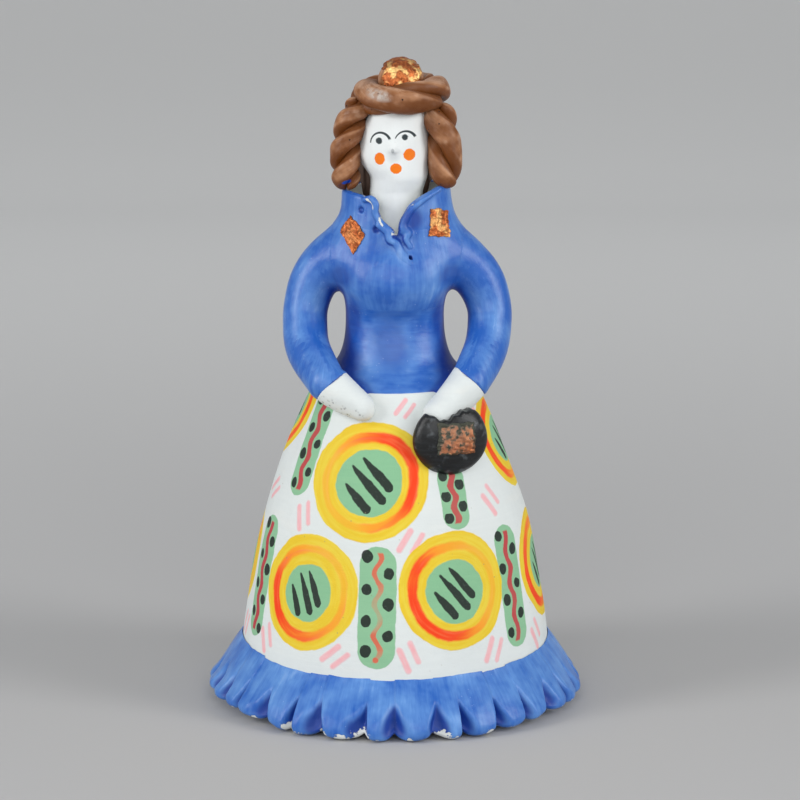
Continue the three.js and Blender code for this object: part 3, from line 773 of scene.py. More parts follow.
        shade = dots(0.0, 1.2, ((-0.4, 180.2), (1.7, 2.0))) * front
        # Painted shade: a dark spot beside the pinched nose.
        nose_side_shade = dots(0.0, 0.5, ((-0.75, 181.9), (0.5, 0.75))) * front
        cheeks = dots(0.5, 0.12, ((-4.9, 179.3), (1.62, 1.95)), ((4.6, 180.6), (1.88, 1.92)))
        mouth = dot_at(g, x, z + edge * 0.5, (0.3, 176.2), (1.85, 1.66))
        orange = g.colour("orange", (g.noise(place, 0.9, 3.0), (246, 112, 0)))
        eyes = dots(0.6, 0.3, ((-5.1, 185.0), (1.0, 1.06)), ((3.2, 186.2), (1.0, 0.98)))
        smears = dots(1.5, 0.8, ((-8.3, 164.6), (0.8, 2.4)), ((8.9, 165.2), (0.7, 2.0)))
        dark = g.largest(
            eyes, smears * 0.7,
            arched_brow(g, x, z, (-4.6, 184.2), (3.2, 3.4), (0.42, 3.2), 0.36),
            arched_brow(g, x, z, (3.4, 184.6), (3.5, 3.5), (0.5, 2.78), 0.38),
            streak_at(g, x, z, (-8.7, 193.4), (-10.4, 188.2), 0.3),
            streak_at(g, x, z, (9.1, 194.6), (10.6, 192.7), 0.45))
        # Painted shade: grey in the hollows of the head, such as under the chin.
        hollow_shade = g.step(g.number("hollow"), 0.25, 0.85)
        waver = g.noise(place, 0.8, 3.0) - 0.5
        # Painted shade: a dark band where the head goes in under the crown's rope.
        shade_under_crown = g.step(z + waver * 3, 194.6, 195.4)
        behind = g.step(y + waver * 1.5, 1.9, 2.3) * g.step(z, 158.5, 160.0)
        # Painted light: the head's whitewash is laid whiter than the skirt's, so that the face looks
        # brighter.
        colour = g.colour(
            chalk, (0.55, (247, 250, 250)), (shade * 0.3, (146, 152, 160)), (nose_side_shade * 0.5, (110, 114, 122)),
            (g.largest(cheeks, mouth) * front, orange), (dark * front, (44, 54, 58)),
            (hollow_shade * 0.55, (150, 158, 162)), (g.largest(shade_under_crown * 0.6, behind * 0.95), "dark"))
        return {"Base Color": colour, "Height": self.dents(g, place, streak), "Roughness": 0.6 - streak * 0.1}

    def hand(self, g):
        place = g.place()
        x, _, z = g.split(place)
        chalk, streak = self.chalky(g, place, 12.0, 1.0)
        dirt = self.speckled(g, place, 3.4, 0.3) * g.step(z + x * 0.35, 98.5, 95.5)
        # Painted shade: grey in the hollows of the mitten.
        hollow_shade = g.step(g.number("hollow"), 0.3, 0.9)
        colour = g.colour(chalk, (dirt * 0.75, (150, 152, 150)), (hollow_shade * 0.4, (158, 164, 166)))
        height = self.dents(g, place, streak) - dirt * 0.25
        return {"Base Color": colour, "Height": height, "Roughness": 0.6 - streak * 0.1}

    def blue(self, g, chips, contrast, thinness):
        """Blue tempera: thin on the ridges, thick along the strokes, pooled in the hollows and darkened there
        as painted shade.
        """
        place = g.place()
        streak = self.brushed(g, place, 22.0, 1.3)
        patch, cloud = streak.output("Patch"), g.noise(place, 0.085, 3.0, 0.6)
        thin = (streak - 0.5) * contrast + (patch - 0.5) * 1.1 + (cloud - 0.5) * 2.0
        rub = g.step(streak * 0.5 + cloud * 0.6, 0.62, 0.8)
        # Paint pooled in the hollows, partly painted shade there and in the listed dark spots of the front.
        pooled_and_shaded = g.step(g.number("hollow") + (streak - 0.5) * 0.25 + (cloud - 0.5) * 0.3, 0.08, 0.48)
        worn = g.use(self.wear, Place=place, Edge=g.number("edge"), Amount=chips)
        bare = g.number("bare") + (g.noise(place, 0.7, 3.0) - 0.5) * 1.3
        worn = g.largest(worn, g.step(bare, 0.45, 0.52))
        colour = g.colour(
            "deep_blue", (g.clamp(thin + thinness), "blue"), (rub * 0.42, (152, 182, 232)),
            (pooled_and_shaded * 0.9, "pooled_and_shaded_blue"), (self.speckled(g, place, 2.0, 0.07) * 0.5, (186, 204, 240)),
            (worn, (228, 231, 228)))
        return {"Base Color": colour, "Height": self.dents(g, place, streak) - worn * 0.2,
                "Roughness": 0.27 + patch * 0.12 + worn * 0.35 + pooled_and_shaded * 0.12}

    def jacket(self, g):
        return self.blue(g, 0.16, 0.9, 0.32)

    def frill(self, g):
        return self.blue(g, 0.24, 0.9, 0.52)

    def hair(self, g):
        place = g.place()
        x, y, z = g.split(place)
        streak, cloud = self.brushed(g, place, 9.0, 0.9), g.noise(place, 0.2, 2.0)
        tone = g.clamp((streak - 0.5) * 0.9 + (cloud - 0.5) * 2.2 + 0.42)
        rub = g.step(streak.output("Patch") * 0.5 + g.noise(place, 0.3, 3.0) * 0.6, 0.58, 0.74)
        facing = g.split(g.node("ShaderNodeNewGeometry", output="Normal"))[2]
        # Lighter on faces that look up: partly rubbed paint, partly painted highlight.
        worn = g.step(facing + (cloud - 0.5) * 1.6, 0.3, 0.9) * g.step(streak, 0.38, 0.62)
        # Painted shade: amber on faces that look down.
        under = g.step(facing + (cloud - 0.5) * 1.3, 0.35, -0.35)
        # Painted shade: amber in the creases.
        hollow_shade = g.step(g.number("hollow") + (streak - 0.5) * 0.3, 0.12, 0.55)
        pins = self.speckled(g, place, 1.2, 0.09)
        front = g.math("LESS_THAN", y, -4.0)
        smudge = dot_at(g, x - (z - 171.3) * 0.9, z, (-15.6, 171.3), (1.3, 0.7), 0.3) * front
        chip = dot_at(g, x + (z - 200) * 0.75, z, (-5.1, 200), (3.2, 1.7), 0.8) * front
        chip = chip * (0.3 + g.step(g.noise(place, 0.7, 3.0), 0.34, 0.6) * 0.7)
        colour = g.colour(
            "brown", (tone, (188, 136, 98)), (rub * 0.55, "rubbed_and_lit_brown"), (worn * 0.55, "rubbed_and_lit_brown"),
            (g.largest(hollow_shade, under) * 0.85, "amber_shade"), (pins, (52, 26, 14)), (smudge, (28, 84, 190)),
            (chip * 0.7, (206, 200, 192)))
        height = self.dents(g, place, streak) - pins * 0.3
        return {"Base Color": colour, "Height": height, "Roughness": 0.34 + streak * 0.16}

    def back_hair(self, g):
        place = g.place()
        streak = self.brushed(g, place, 9.0, 0.8)
        return {"Base Color": g.colour("dark", (streak, (92, 66, 50))),
                "Height": self.dents(g, place, streak * 3), "Roughness": 0.5 + streak * 0.1}

    def bag(self, g):
        place = g.place()
        streak = self.brushed(g, place, 7.0, 1.1)
        dust = g.step(streak.output("Patch") * 0.6 + g.noise(place, 0.5, 4.0) * 0.6, 0.62, 0.8)
        worn = g.use(self.wear, Place=place, Edge=g.number("edge"), Amount=0.2)
        colour = g.colour("bag_black", (g.step(streak, 0.4, 0.8), (34, 37, 40)),
                          (dust * 0.4, (116, 122, 126)), (worn * 0.7, (176, 176, 172)))
        return {"Base Color": colour, "Height": self.dents(g, place, streak),
                "Roughness": 0.26 + streak * 0.18 + worn * 0.3}

    def leaf(self, g):
        place, soiled = g.place(), g.number("dirt")
        crumple = g.noise(place, 0.8, 4.0, 0.62)
        # Painted highlight: bright gold glints on the leaf, as much as its glint share.
        painted_glint = g.step(g.noise(place, 0.33, 2.0), 0.48, 0.62)
        dirt = g.step(g.noise(place, 0.6, 5.0) + g.number("edge") * 0.3 + soiled * 0.17, 0.64, 0.82)
        grime = g.colour((164, 128, 104), (dirt, (66, 68, 56)))
        colour = g.colour((166, 84, 42), (g.step(crumple, 0.4, 0.62), "leaf"),
                          (painted_glint * g.number("glint_share"), (255, 206, 132)),
                          (g.clamp(soiled * (0.4 + dirt * 0.7)), grime))
        height = (crumple * 0.5 + g.spots(place, 0.45) * 0.25) * (1 - soiled * 0.6)
        return {"Base Color": colour, "Height": height, "Metallic": 0.92 - soiled * 0.5,
                "Roughness": 0.3 + soiled * 0.2}


# Surfaces bent from a grid by a formula of Geometry Nodes


def bent_grid(name, material, counts, inputs, formula, path=None):
    """A mesh that a Geometry Nodes tree bends from a grid. The formula gets the graph, the two grid
    coordinates and the named inputs, and returns the point and the numbers to keep. A path, given as
    its points and whether it is closed, is the input named line."""
    tree = bpy.data.node_groups.new(name, "GeometryNodeTree")
    tree.interface.new_socket("Geometry", in_out="INPUT", socket_type="NodeSocketGeometry")
    identifiers = {}
    for label, value in inputs.items():
        kind = "NodeSocketVector" if isinstance(value, tuple) else "NodeSocketFloat"
        socket = tree.interface.new_socket(label, in_out="INPUT", socket_type=kind)
        socket.default_value = value
        identifiers[label] = socket.identifier
    tree.interface.new_socket("Geometry", in_out="OUTPUT", socket_type="NodeSocketGeometry")
    g = Graph(tree)
    source, sink = tree.nodes.new("NodeGroupInput"), tree.nodes.new("NodeGroupOutput")
    sizes = {label: Value(g, source.outputs[label]) for label in inputs}
    grid = g.node("GeometryNodeMeshGrid",
                  {"Size X": 1.0, "Size Y": 1.0, "Vertices X": counts[0], "Vertices Y": counts[1]})
    x, y, _ = g.split(g.node("GeometryNodeInputPosition"))
    u, v = x + 0.5, y + 0.5
    if path is not None:
        sizes["line"] = path_line(g, Value(g, source.outputs["Geometry"]))
    point, kept = formula(g, u, v, sizes)
    shape = grid
    for label, value in {**kept, "grid_u": u, "grid_v": v}.items():
        shape = g.node("GeometryNodeStoreNamedAttribute", {"Geometry": shape, "Name": label, "Value": value},
                       data_type="FLOAT", domain="POINT")
    place = g.scaled(point, MM)
    shape = g.node("GeometryNodeSetPosition", {"Geometry": shape, "Position": place})
    shape = g.node("GeometryNodeMergeByDistance", {"Geometry": shape, "Distance": 0.004 * MM})
    shape = g.node("GeometryNodeSetMaterial", {"Geometry": shape, "Material": material})
    g.put(sink.inputs[0], shape)

    base = bpy.data.meshes.new(name + "_path")
    if path is not None:
        points, closed = path
        edges = [(i, i + 1) for i in range(len(points) - 1)] + ([(len(points) - 1, 0)] if closed else [])
        base.from_pydata((np.asarray(points) * MM).tolist(), edges, [])
    carrier = bpy.data.objects.new(name + "_grid", base)
    bpy.context.scene.collection.objects.link(carrier)
    modifier = carrier.modifiers.new(name, "NODES")
    modifier.node_group = tree
    for label, value in inputs.items():
        modifier[identifiers[label]] = value
    graph = bpy.context.evaluated_depsgraph_get()
    mesh = bpy.data.meshes.new_from_object(carrier.evaluated_get(graph))
    carrier.modifiers.clear()
    bpy.data.objects.remove(carrier)
    mesh.name = name
    return turn_outwards(mesh)


def path_line(g, geometry):
    """The carrier's own points as a smooth line, to be sampled by the formula."""
    line = g.node("GeometryNodeMeshToCurve", {"Mesh": geometry})
    line = g.node("GeometryNodeCurveSplineType", {"Curve": line}, spline_type="CATMULL_ROM")
    return g.node("GeometryNodeSetSplineResolution", {"Geometry": line, "Resolution": 10})


# Skirt and frill


class SkirtSizes(bpy.types.PropertyGroup):
    """Sizes of the skirt and its frill."""

    wall: length_setting("Wall", "Thickness of the skirt's clay", 4.6)
    pleats: bpy.props.IntProperty(name="Pleats", description="Pleats round the frill", default=33)
    pleat_depth: length_setting("Pleat depth", "How far a pleat is pinched in", 3.6)
    frill_height: length_setting("Frill height", "Height of the frill's top edge", 19)


# Azimuth, height, radius, share of green, angle of the reddest side and lean of strokes, of each target
TARGETS = [
    (-12.9, 78.9, 19.6, 0.565, 26, 46), (84, 87, 16.8, 0.5, 170, 60), (-99, 97, 17.8, 0.56, 10, 55),
    (170, 84, 18.3, 0.55, 200, 55), (-37.4, 43.2, 18.8, 0.5, 208, 66),
    (24.4, 45, 18.9, 0.54, 205, 52), (83.5, 46, 18, 0.5, 200, 60), (-97.5, 47, 17, 0.56, 150, 60),
    (141, 45, 18, 0.55, 90, 50), (-160, 45, 18.4, 0.57, 230, 58),
]
# Azimuth, low and high end, half width, fading of the line and pitch of the dots, of each dotted band
BANDS = [
    (-52.5, 71.6, 105.5, 4.9, 0.1, 4.6), (28.4, 63.8, 84, 4.7, 0.2, 3.5), (125.5, 70, 102, 4.5, 0.2, 4.6),
    (-146, 70, 102, 4.4, 0.2, 4.6),
    (-6.9, 21.8, 59.2, 6.1, 1.0, 5.0), (53.2, 24.0, 62.4, 5.4, 0.1, 5.2), (-67, 25, 63.5, 5.2, 0.0, 4.8),
    (112, 24, 62, 5.6, 0.4, 5.1), (170.5, 23, 61, 5.8, 0.3, 5.1), (-128, 24, 62, 5.6, 0.6, 5.1),
]
# Azimuth, height and tilt towards +X of each pair of strokes
DASHES = [
    (6.6, 101.2, 42), (-76.6, 71.5, 50), (-44.4, 66.8, -14), (6.8, 61.0, 32), (49.5, 71.3, -32),
    (-56.9, 25.8, -18), (-22.6, 24.3, 48), (5.2, 25.3, -21), (39.8, 24.6, 27), (67, 25.4, -33), (98, 66, 30),
    (126, 64, -30), (155, 62, 25), (-175, 62, -28), (-147, 64, 30), (-118, 68, -20), (99, 24, 20),
    (126, 25, -25), (157, 24, 30), (-176, 25, -20), (-144, 24, 35), (-114, 25, -30), (-80, 26, 20),
    (60, 101, -30), (108, 101, 25), (142, 101.5, 25), (-162, 101.5, -25), (-72, 102, 30),
]


def skirt_place(points, azimuth, height):
    """Where points lie on the skirt's skin from a spot on it: to the right, and upwards."""
    turn = (azimuth_of(points) - azimuth + 180) % 360 - 180
    radius = skirt_radius(points[..., 2])
    slope = float(skirt_radius(height - 1) - skirt_radius(height + 1)) / 2
    return radius * turn * DEGREE, (points[..., 2] - height) * math.hypot(1, slope)


def lay_pattern(mesh, prefix, motifs):
    """Gives every face the motif nearest to it: its place in the motif's own frame, and its numbers.
    A motif is azimuth, height, tilt, half width, half height, unit and numbers by name."""
    points = points_of(mesh)
    corners = values_in(mesh.loops, "vertex_index", kind=int)
    totals = values_in(mesh.polygons, "loop_total", kind=int)
    starts = np.concatenate([[0], np.cumsum(totals)[:-1]])
    middles = np.add.reduceat(points[corners], starts) / totals[:, None]
    nearest = np.full(len(totals), np.inf)
    choice = np.zeros(len(totals), int)

    def local(places, motif):
        right, up = skirt_place(places, motif["azimuth"], motif["height"])
        lean = motif["tilt"] * DEGREE
        return right * math.cos(lean) - up * math.sin(lean), right * math.sin(lean) + up * math.cos(lean)

    for index, motif in enumerate(motifs):
        across, along = local(middles, motif)
        gap = np.hypot(across / motif["wide"], along / motif["high"])
        closer = gap < nearest
        nearest, choice = np.where(closer, gap, nearest), np.where(closer, index, choice)
    corner_choice = np.repeat(choice, totals)
    spots = np.zeros((len(corners), 2))
    for index, motif in enumerate(motifs):
        chosen = corner_choice == index
        across, along = local(points[corners[chosen]], motif)
        spots[chosen] = np.column_stack([across, along]) / motif["unit"]
    keep_map(mesh, prefix, spots)
    for name in motifs[0]["numbers"]:
        values = np.array([motif["numbers"][name] for motif in motifs])[choice]
        keep_number(mesh, f"{prefix}_{name}", values, "FACE")


def skirt_section(wall):
    """The skirt's outline as radius and height, up its outside and down its inside, and the number of
    its points that are outside."""
    top, hollow_top = SEAT_HEIGHT, SEAT_HEIGHT - CROWN_THICKNESS
    edge, foot = float(skirt_radius(top)), float(skirt_radius(0))
    outer = [(float(skirt_radius(z)), z) for z in np.linspace(0.5, top - 0.5, 110)]
    outer += [(edge - 0.5, top), (edge * 0.5, top), (0, top)]
    inner = [(0, hollow_top), (edge - wall - 3, hollow_top - 0.2)]
    inner += [(float(skirt_radius(z)) - wall, z) for z in np.linspace(hollow_top - 1, 0.4, 50)]
    return outer + inner + [(foot - wall + 0.5, 0), (foot - 0.6, 0), (foot - 0.1, 0.2)], len(outer)


def turned_section(section, around):
    """Points and faces of an outline that is turned round the middle, and the row of each point."""
    turns = np.arange(around) * 2 * math.pi / around
    points, rows = [], []
    for radius, height in section:
        count = around if radius else 1
        rows.append([len(points) + j * (count > 1) for j in range(around)])
        points.extend((radius * math.sin(turn), -radius * math.cos(turn), height) for turn in turns[:count])
    faces = []
    for row, after in zip(rows, rows[1:] + rows[:1]):
        for j in range(around):
            face = [row[j], row[(j + 1) % around], after[(j + 1) % around], after[j]]
            face = [p for n, p in enumerate(face) if p != face[n - 1]]
            if len(face) > 2:
                faces.append(face)
    row_of = np.repeat(np.arange(len(rows)), [len(set(row)) for row in rows])
    return np.array(points, float), faces, row_of


class CLAY_OT_skirt(bpy.types.Operator):
    """Turn the hollow bell skirt and lay its painted pattern out on it"""

    bl_idname = "clay_lady.skirt"
    bl_label = "Skirt"

    def execute(self, context):
        section, outside_count = skirt_section(context.scene.clay_lady_skirt.wall / MM)
        points, faces, row_of = turned_section(section, SKIRT_FACETS)
        swell = wobble(points, 26, 3) * 0.35 * np.clip((104 - points[:, 2]) / 12, 0, 1)
        swell *= np.clip(points[:, 2] / 24 - 0.6, 0, 1)
        points[:, :2] *= 1 + (swell / np.maximum(np.hypot(points[:, 0], points[:, 1]), 1))[:, None]
        mesh = new_mesh("painted_skirt", points, faces)
        keep_number(mesh, "inside", row_of >= outside_count)
        keep_map(mesh, "strokes", np.column_stack([points[:, 2], azimuth_of(points) * 0.75]))
        chance = np.random.default_rng(11)
        lay_pattern(mesh, "target", [
            dict(azimuth=a, height=h, tilt=0, wide=r, high=r, unit=r, numbers=dict(
                seed=chance.random(), green=green, hot=hot * DEGREE, lean=lean * DEGREE))
            for a, h, r, green, hot, lean in TARGETS])
        lay_pattern(mesh, "band", [
            dict(azimuth=a, height=(low + high) / 2, tilt=0, wide=w, high=(high - low) / 2, unit=1,
                 numbers=dict(seed=chance.random(), width=w, length=(high - low) / 2 * 1.04, fade=fade,
                              pitch=pitch))
            for a, low, high, w, fade, pitch in BANDS])
        lay_pattern(mesh, "dash", [
            dict(azimuth=a, height=h, tilt=t, wide=4, high=6, unit=0.8 if h > 95 else 1.05,
                 numbers=dict(seed=chance.random()))
            for a, h, t in DASHES])
        finish_piece("painted_skirt", mesh, FINISH.skirt_paint, "white_clay", "skirt_bell")
        return {"FINISHED"}


def frill_formula(g, u, v, sizes):
    """A strip round the hem with uneven scallops: a finger's dent between each two, broad and deep
    just above the rim and narrowing upwards."""
    angle = u * (2 * math.pi)
    aside, ahead = g.math("SINE", angle), g.math("COSINE", angle)
    ring, front = g.vector(aside, ahead, 0.0), g.largest(ahead, 0.0)

    def curve(value, points):
        made = g.node("ShaderNodeFloatCurve", {"Value": value})
        mapping = made.socket.node.mapping
        line = mapping.curves[0].points
        line[0].location, line[-1].location = points[0], points[-1]
        for x, y in points[1:-1]:
            line.new(x, y)
        mapping.update()
        return made

    def chance_at(seed):
        return g.node("ShaderNodeTexWhiteNoise", {"Vector": g.vector(turn_cell, seed)}, noise_dimensions="3D")

    share = curve(v, [(0, 1), (0.12, 0.82), (0.4, 0.16), (0.47, 0.035), (0.53, 0.0), (0.6, 0.03),
                      (0.7, 0.12), (1, 0.985)])
    side = curve(v, [(0, 1), (0.42, 1), (0.47, 0.94), (0.53, 0.6), (0.6, 0.08), (0.66, 0), (1, 0)])
    wide = curve(share, [(0, 0.85), (0.2, 0.78), (0.4, 0.52), (0.56, 0.3), (0.7, 0.12), (1, 0.05)])
    deep = curve(share, [(0, 0.5), (0.06, 0.65), (0.18, 1), (0.34, 0.85), (0.52, 0.42), (0.72, 0), (1, 0)])

    slant = (g.noise(ring, 7.0, 1.0) - 0.5) * 1.5
    pleat = u * sizes["Pleats"] + (g.noise(ring, 3.1, 2.0) - 0.5) * sizes["Unevenness"] + slant * share
    cell = g.math("FLOOR", pleat)
    turn_cell = g.math("FLOORED_MODULO", cell, sizes["Pleats"])
    chance, edge_chance = chance_at(3.7), chance_at(8.2)
    in_pleat = pleat - cell - 0.5
    off = abs(in_pleat) * 2
    mirrored = in_pleat * (1 - 2 * g.math("LESS_THAN", turn_cell, sizes["Pleats"] / 2))
    strength = 0.75 + g.noise(ring, 6.0, 1.0) * 0.6
    gradual = g.step(mirrored, 0.5 - wide * (0.5 + chance * 0.4), 0.52)
    crisp = g.step(mirrored, wide * 0.18 - 0.5, -0.52)
    dent = g.largest(gradual, crisp) * deep * strength
    crown = 1 - off * off

    top = 2.3 - front * 3.3 + (g.noise(ring, 5.0, 2.0) - 0.5) * 1.6 + (edge_chance - 0.5) * 0.8
    height = sizes["Lift"] + (sizes["Height"] - sizes["Lift"]) * share + top * g.step(share, 0.35, 1.0)
    lift = g.step(aside, -0.5, -0.95) * 2.7 + g.step(aside, 0.38, 0.8) * 1.6
    lift = lift * (0.6 + g.noise(ring, 4.0, 1.0) * 0.8) + off ** 3.0 * 1.9
    height = height + lift * g.step(share, 0.5, 0.0)
    base = curve(share, [(0, 0.94), (0.12, 1), (0.3, 0.93), (0.5, 0.74), (0.75, 0.4), (0.92, 0.14),
                         (1, 0.04)])
    skirt = sizes["Skirt radius"] - share * 1.2
    outer = skirt + (sizes["Rim radius"] - sizes["Skirt radius"]) * base
    swell = g.step(share, 0.7, 0.2)
    outer = outer - dent * sizes["Pleat depth"] + (crown * 0.65 + (chance - 0.6) * 0.7) * swell
    inner = g.largest(skirt - 0.6, outer - sizes["Thickness"])
    radius = inner + (outer - inner) * side
    point = g.vector(radius * aside, -radius * ahead, height)
    # Painted shade: how deep each point lies in a dent, which the blue paint darkens.
    hollow = (dent * 0.75 + off ** 12.0 * swell * 0.4) * side
    bottom = g.step(share, 0.16, 0.02) * g.step(off, 0.8, 0.3)
    return point, {"hollow": hollow, "edge": bottom}


FRILL_GRID = (1321, 56)
RIM_REACH = 61
# Azimuth, height, half width and half height of the chips along the frill's rim
CHIPS = [
    (-88, 1.6, 2.2, 1.8), (-54.9, 1.8, 2.0, 1.6), (-48.7, 1.6, 1.7, 1.4), (-34.3, 1.8, 2.2, 1.7),
    (-22.6, 1.7, 1.7, 1.5), (-16.6, 0.9, 2.0, 1.4), (-9.9, 1.9, 3.0, 1.9), (14.7, 1.7, 2.5, 1.7),
    (29.9, 1.4, 1.4, 1.1), (74, 1.4, 1.6, 1.2), (118, 1.2, 1.8, 1.2), (163, 1.4, 2.4, 1.6),
    (-142, 1.2, 1.6, 1.1),
]


class CLAY_OT_frill(bpy.types.Operator):
    """Pinch the pleated frill round the hem"""

    bl_idname = "clay_lady.frill"
    bl_label = "Frill"

    def execute(self, context):
        chosen = context.scene.clay_lady_skirt
        sizes = {
            "Pleats": float(chosen.pleats), "Height": chosen.frill_height / MM, "Lift": 0.55,
            "Rim radius": 61.22, "Skirt radius": 51.4, "Pleat depth": chosen.pleat_depth / MM,
            "Thickness": 5.0, "Unevenness": 1.5,
        }
        mesh = bent_grid("pleated_frill", FINISH.frill_paint, FRILL_GRID, sizes, frill_formula)
        around, along = numbers_of(mesh, "grid_u"), numbers_of(mesh, "grid_v")
        keep_map(mesh, "strokes", np.column_stack([around * 380, along * 60]))
        places = points_of(mesh)
        arc = azimuth_of(places) * DEGREE * RIM_REACH
        bare = np.zeros(len(places))
        for middle, height, wide, high in CHIPS:
            gap = np.hypot((arc - middle * DEGREE * RIM_REACH) / wide, (places[:, 2] - height) / high)
            bare = np.maximum(bare, 1.1 - gap * 0.6)
        keep_number(mesh, "bare", np.clip(bare, 0, 1))
        finish_piece("pleated_frill", mesh, FINISH.frill_paint, "blue_clay", "hem_frill")
        return {"FINISHED"}


# Jacket, with sleeves and collar


class JacketSizes(bpy.types.PropertyGroup):
    """Sizes of the jacket."""

    waist: length_setting("Waist", "Width of the waist", 32)
    bust: length_setting("Bust", "Width at the bust", 43.4)
    sleeve: length_setting("Sleeve", "Thickness of the upper arm", 17.2)
    collar_wall: length_setting("Collar wall", "Thickness of the collar", 2.3)


# Height of the collar's edge at azimuths from the front
COLLAR_EDGE = [
    (-180, 170), (-120, 169.6), (-90, 168.8), (-60, 168), (-42, 167.2), (-32, 166.2), (-25, 163.4),
    (-19, 160.4), (-12, 158), (-6, 156.5), (-1, 155.6), (3, 156), (6, 159.4), (12, 162), (19, 164.6),
    (32, 167), (50, 169.2), (64, 170.4), (90, 170.2), (120, 170), (180, 170),
]
COLLAR_FOOT = 157
THROAT = 153
# Each arm's side, the azimuths of its wrist and fingertip on the skirt, how far its elbow stands out, how
# far its cuff is past the wrist, how far the fingertip is below the seat and off the skirt, and the radius
# of the hand's end
ARMS = {
    "right": dict(side=-1, wrist=45, tip=15, out=0, cuff=2.6, drop=4.6, stand_off=3.2, hand_end=3.5),
    "left": dict(side=1, wrist=51, tip=21, out=1.4, cuff=0.5, drop=7.4, stand_off=4.2, hand_end=4.6),
}
# Ridges pinched up on the front: side and height along each, its radii, and how proud it stands
RIDGES = (
    # the left edge of the opening, rolled over at its top
    (((-9.8, 166.4), (-7.6, 166.7), (-6.2, 165.0), (-6.3, 162.4), (-5.3, 160.2), (-3.2, 158.2),
      (-0.9, 156.4)), (0.8, 1.1, 1.1, 1.0, 0.95, 0.9, 0.8), 0.4),
    # the right edge, curled at its foot
    (((14.6, 169.4), (10.6, 167.3), (7.6, 165.4), (5.2, 163.4), (3.6, 160.8), (2.6, 158.4),
      (2.2, 156.4)), (0.7, 0.8, 0.9, 1.0, 1.1, 1.1, 0.9), 0.2),
)
RUFFLES = (
    (((-5.4, 158.4), (-2.4, 156.4), (-1.7, 154.0), (0.5, 152.7), (1.6, 150.3), (3.1, 148.2),
      (4.7, 146.6)), (0.9, 1.2, 1.2, 1.3, 1.3, 1.2, 0.7), 0.6),
    (((2.6, 157.8), (4.3, 156.2), (3.5, 154.0), (4.7, 151.8)), (0.8, 1.1, 1.0, 0.7), 0.5),
    (((-7.0, 144.4), (-4.3, 146.3), (-1.4, 148.4)), (0.8, 1.5, 1.0), -0.2),
)
# Side and height of the finger marks beside the ruffle
PITS = ((-11.0, 163.0), (-6.1, 157.1), (-0.9, 153.4), (4.6, 147.8))
# Side, height, half width, half height and depth of the painted shade and pooled paint on the front, such as
# under the bust, at the armpits and at the waist
SHADE_AND_POOLS = (
    (-1.3, 137.5, 8, 5, 0.1), (-0.3, 130.0, 10, 1.5, 0.2), (-1.5, 120, 6, 9, 0.26),
    (5.4, 160.2, 3.6, 3.4, 0.4), (-13.5, 127, 3, 7, 0.35), (14.5, 127, 3, 7, 0.35),
    (-17.5, 141.5, 4, 4, 0.3), (18, 142, 4, 4, 0.3), (-6, 151, 4.5, 2.6, 0.2),
)


class Arm:
    """One arm: the line and radii of its sleeve, its cuff, and the line of its hand."""

    def __init__(self, thick, side, wrist, tip, out, cuff, drop, stand_off, hand_end):
        self.side, self.hand_end = side, hand_end
        wrist = over_skirt(side * wrist, SEAT_HEIGHT + 2.8, 5)
        tip = over_skirt(side * tip, SEAT_HEIGHT - drop, stand_off)
        onwards = (tip - wrist) / np.linalg.norm(tip - wrist)
        places = [(13.4, 0, 148.8), (21.2 + out * 0.3, 0, 144.6), (26.3 + out * 0.7, -0.2, 138.6),
                  (28.8 + out, -1.2, 131.6), (29.3 + out, -3.4, 125.2), (28.0 + out * 0.9, -9.0, 117.2)]
        line = smooth_path([(side * x, y, z) for x, y, z in places] + [wrist], 34)
        self.path = np.vstack([line, wrist + onwards * 3, wrist + onwards * 8])
        radii = through([[0, thick], [0.17, thick - 0.2], [0.33, thick - 0.7], [0.5, 7.35], [0.83, 7.1],
                         [1, 6.1]])
        self.radii = np.append(radii(np.linspace(0, 1, len(line) + 1))[:, 0], 5.9)
        self.cuff = wrist + onwards * cuff
        self.facing = np.array([-side * 0.66, -0.25, -0.72])
        self.facing /= np.linalg.norm(self.facing)
        self.hand = smooth_path([self.path[-5], wrist + onwards * 3, tip - onwards * 3.2], 14)

    def clay(self, points):
        return rope(points, self.path, self.radii)


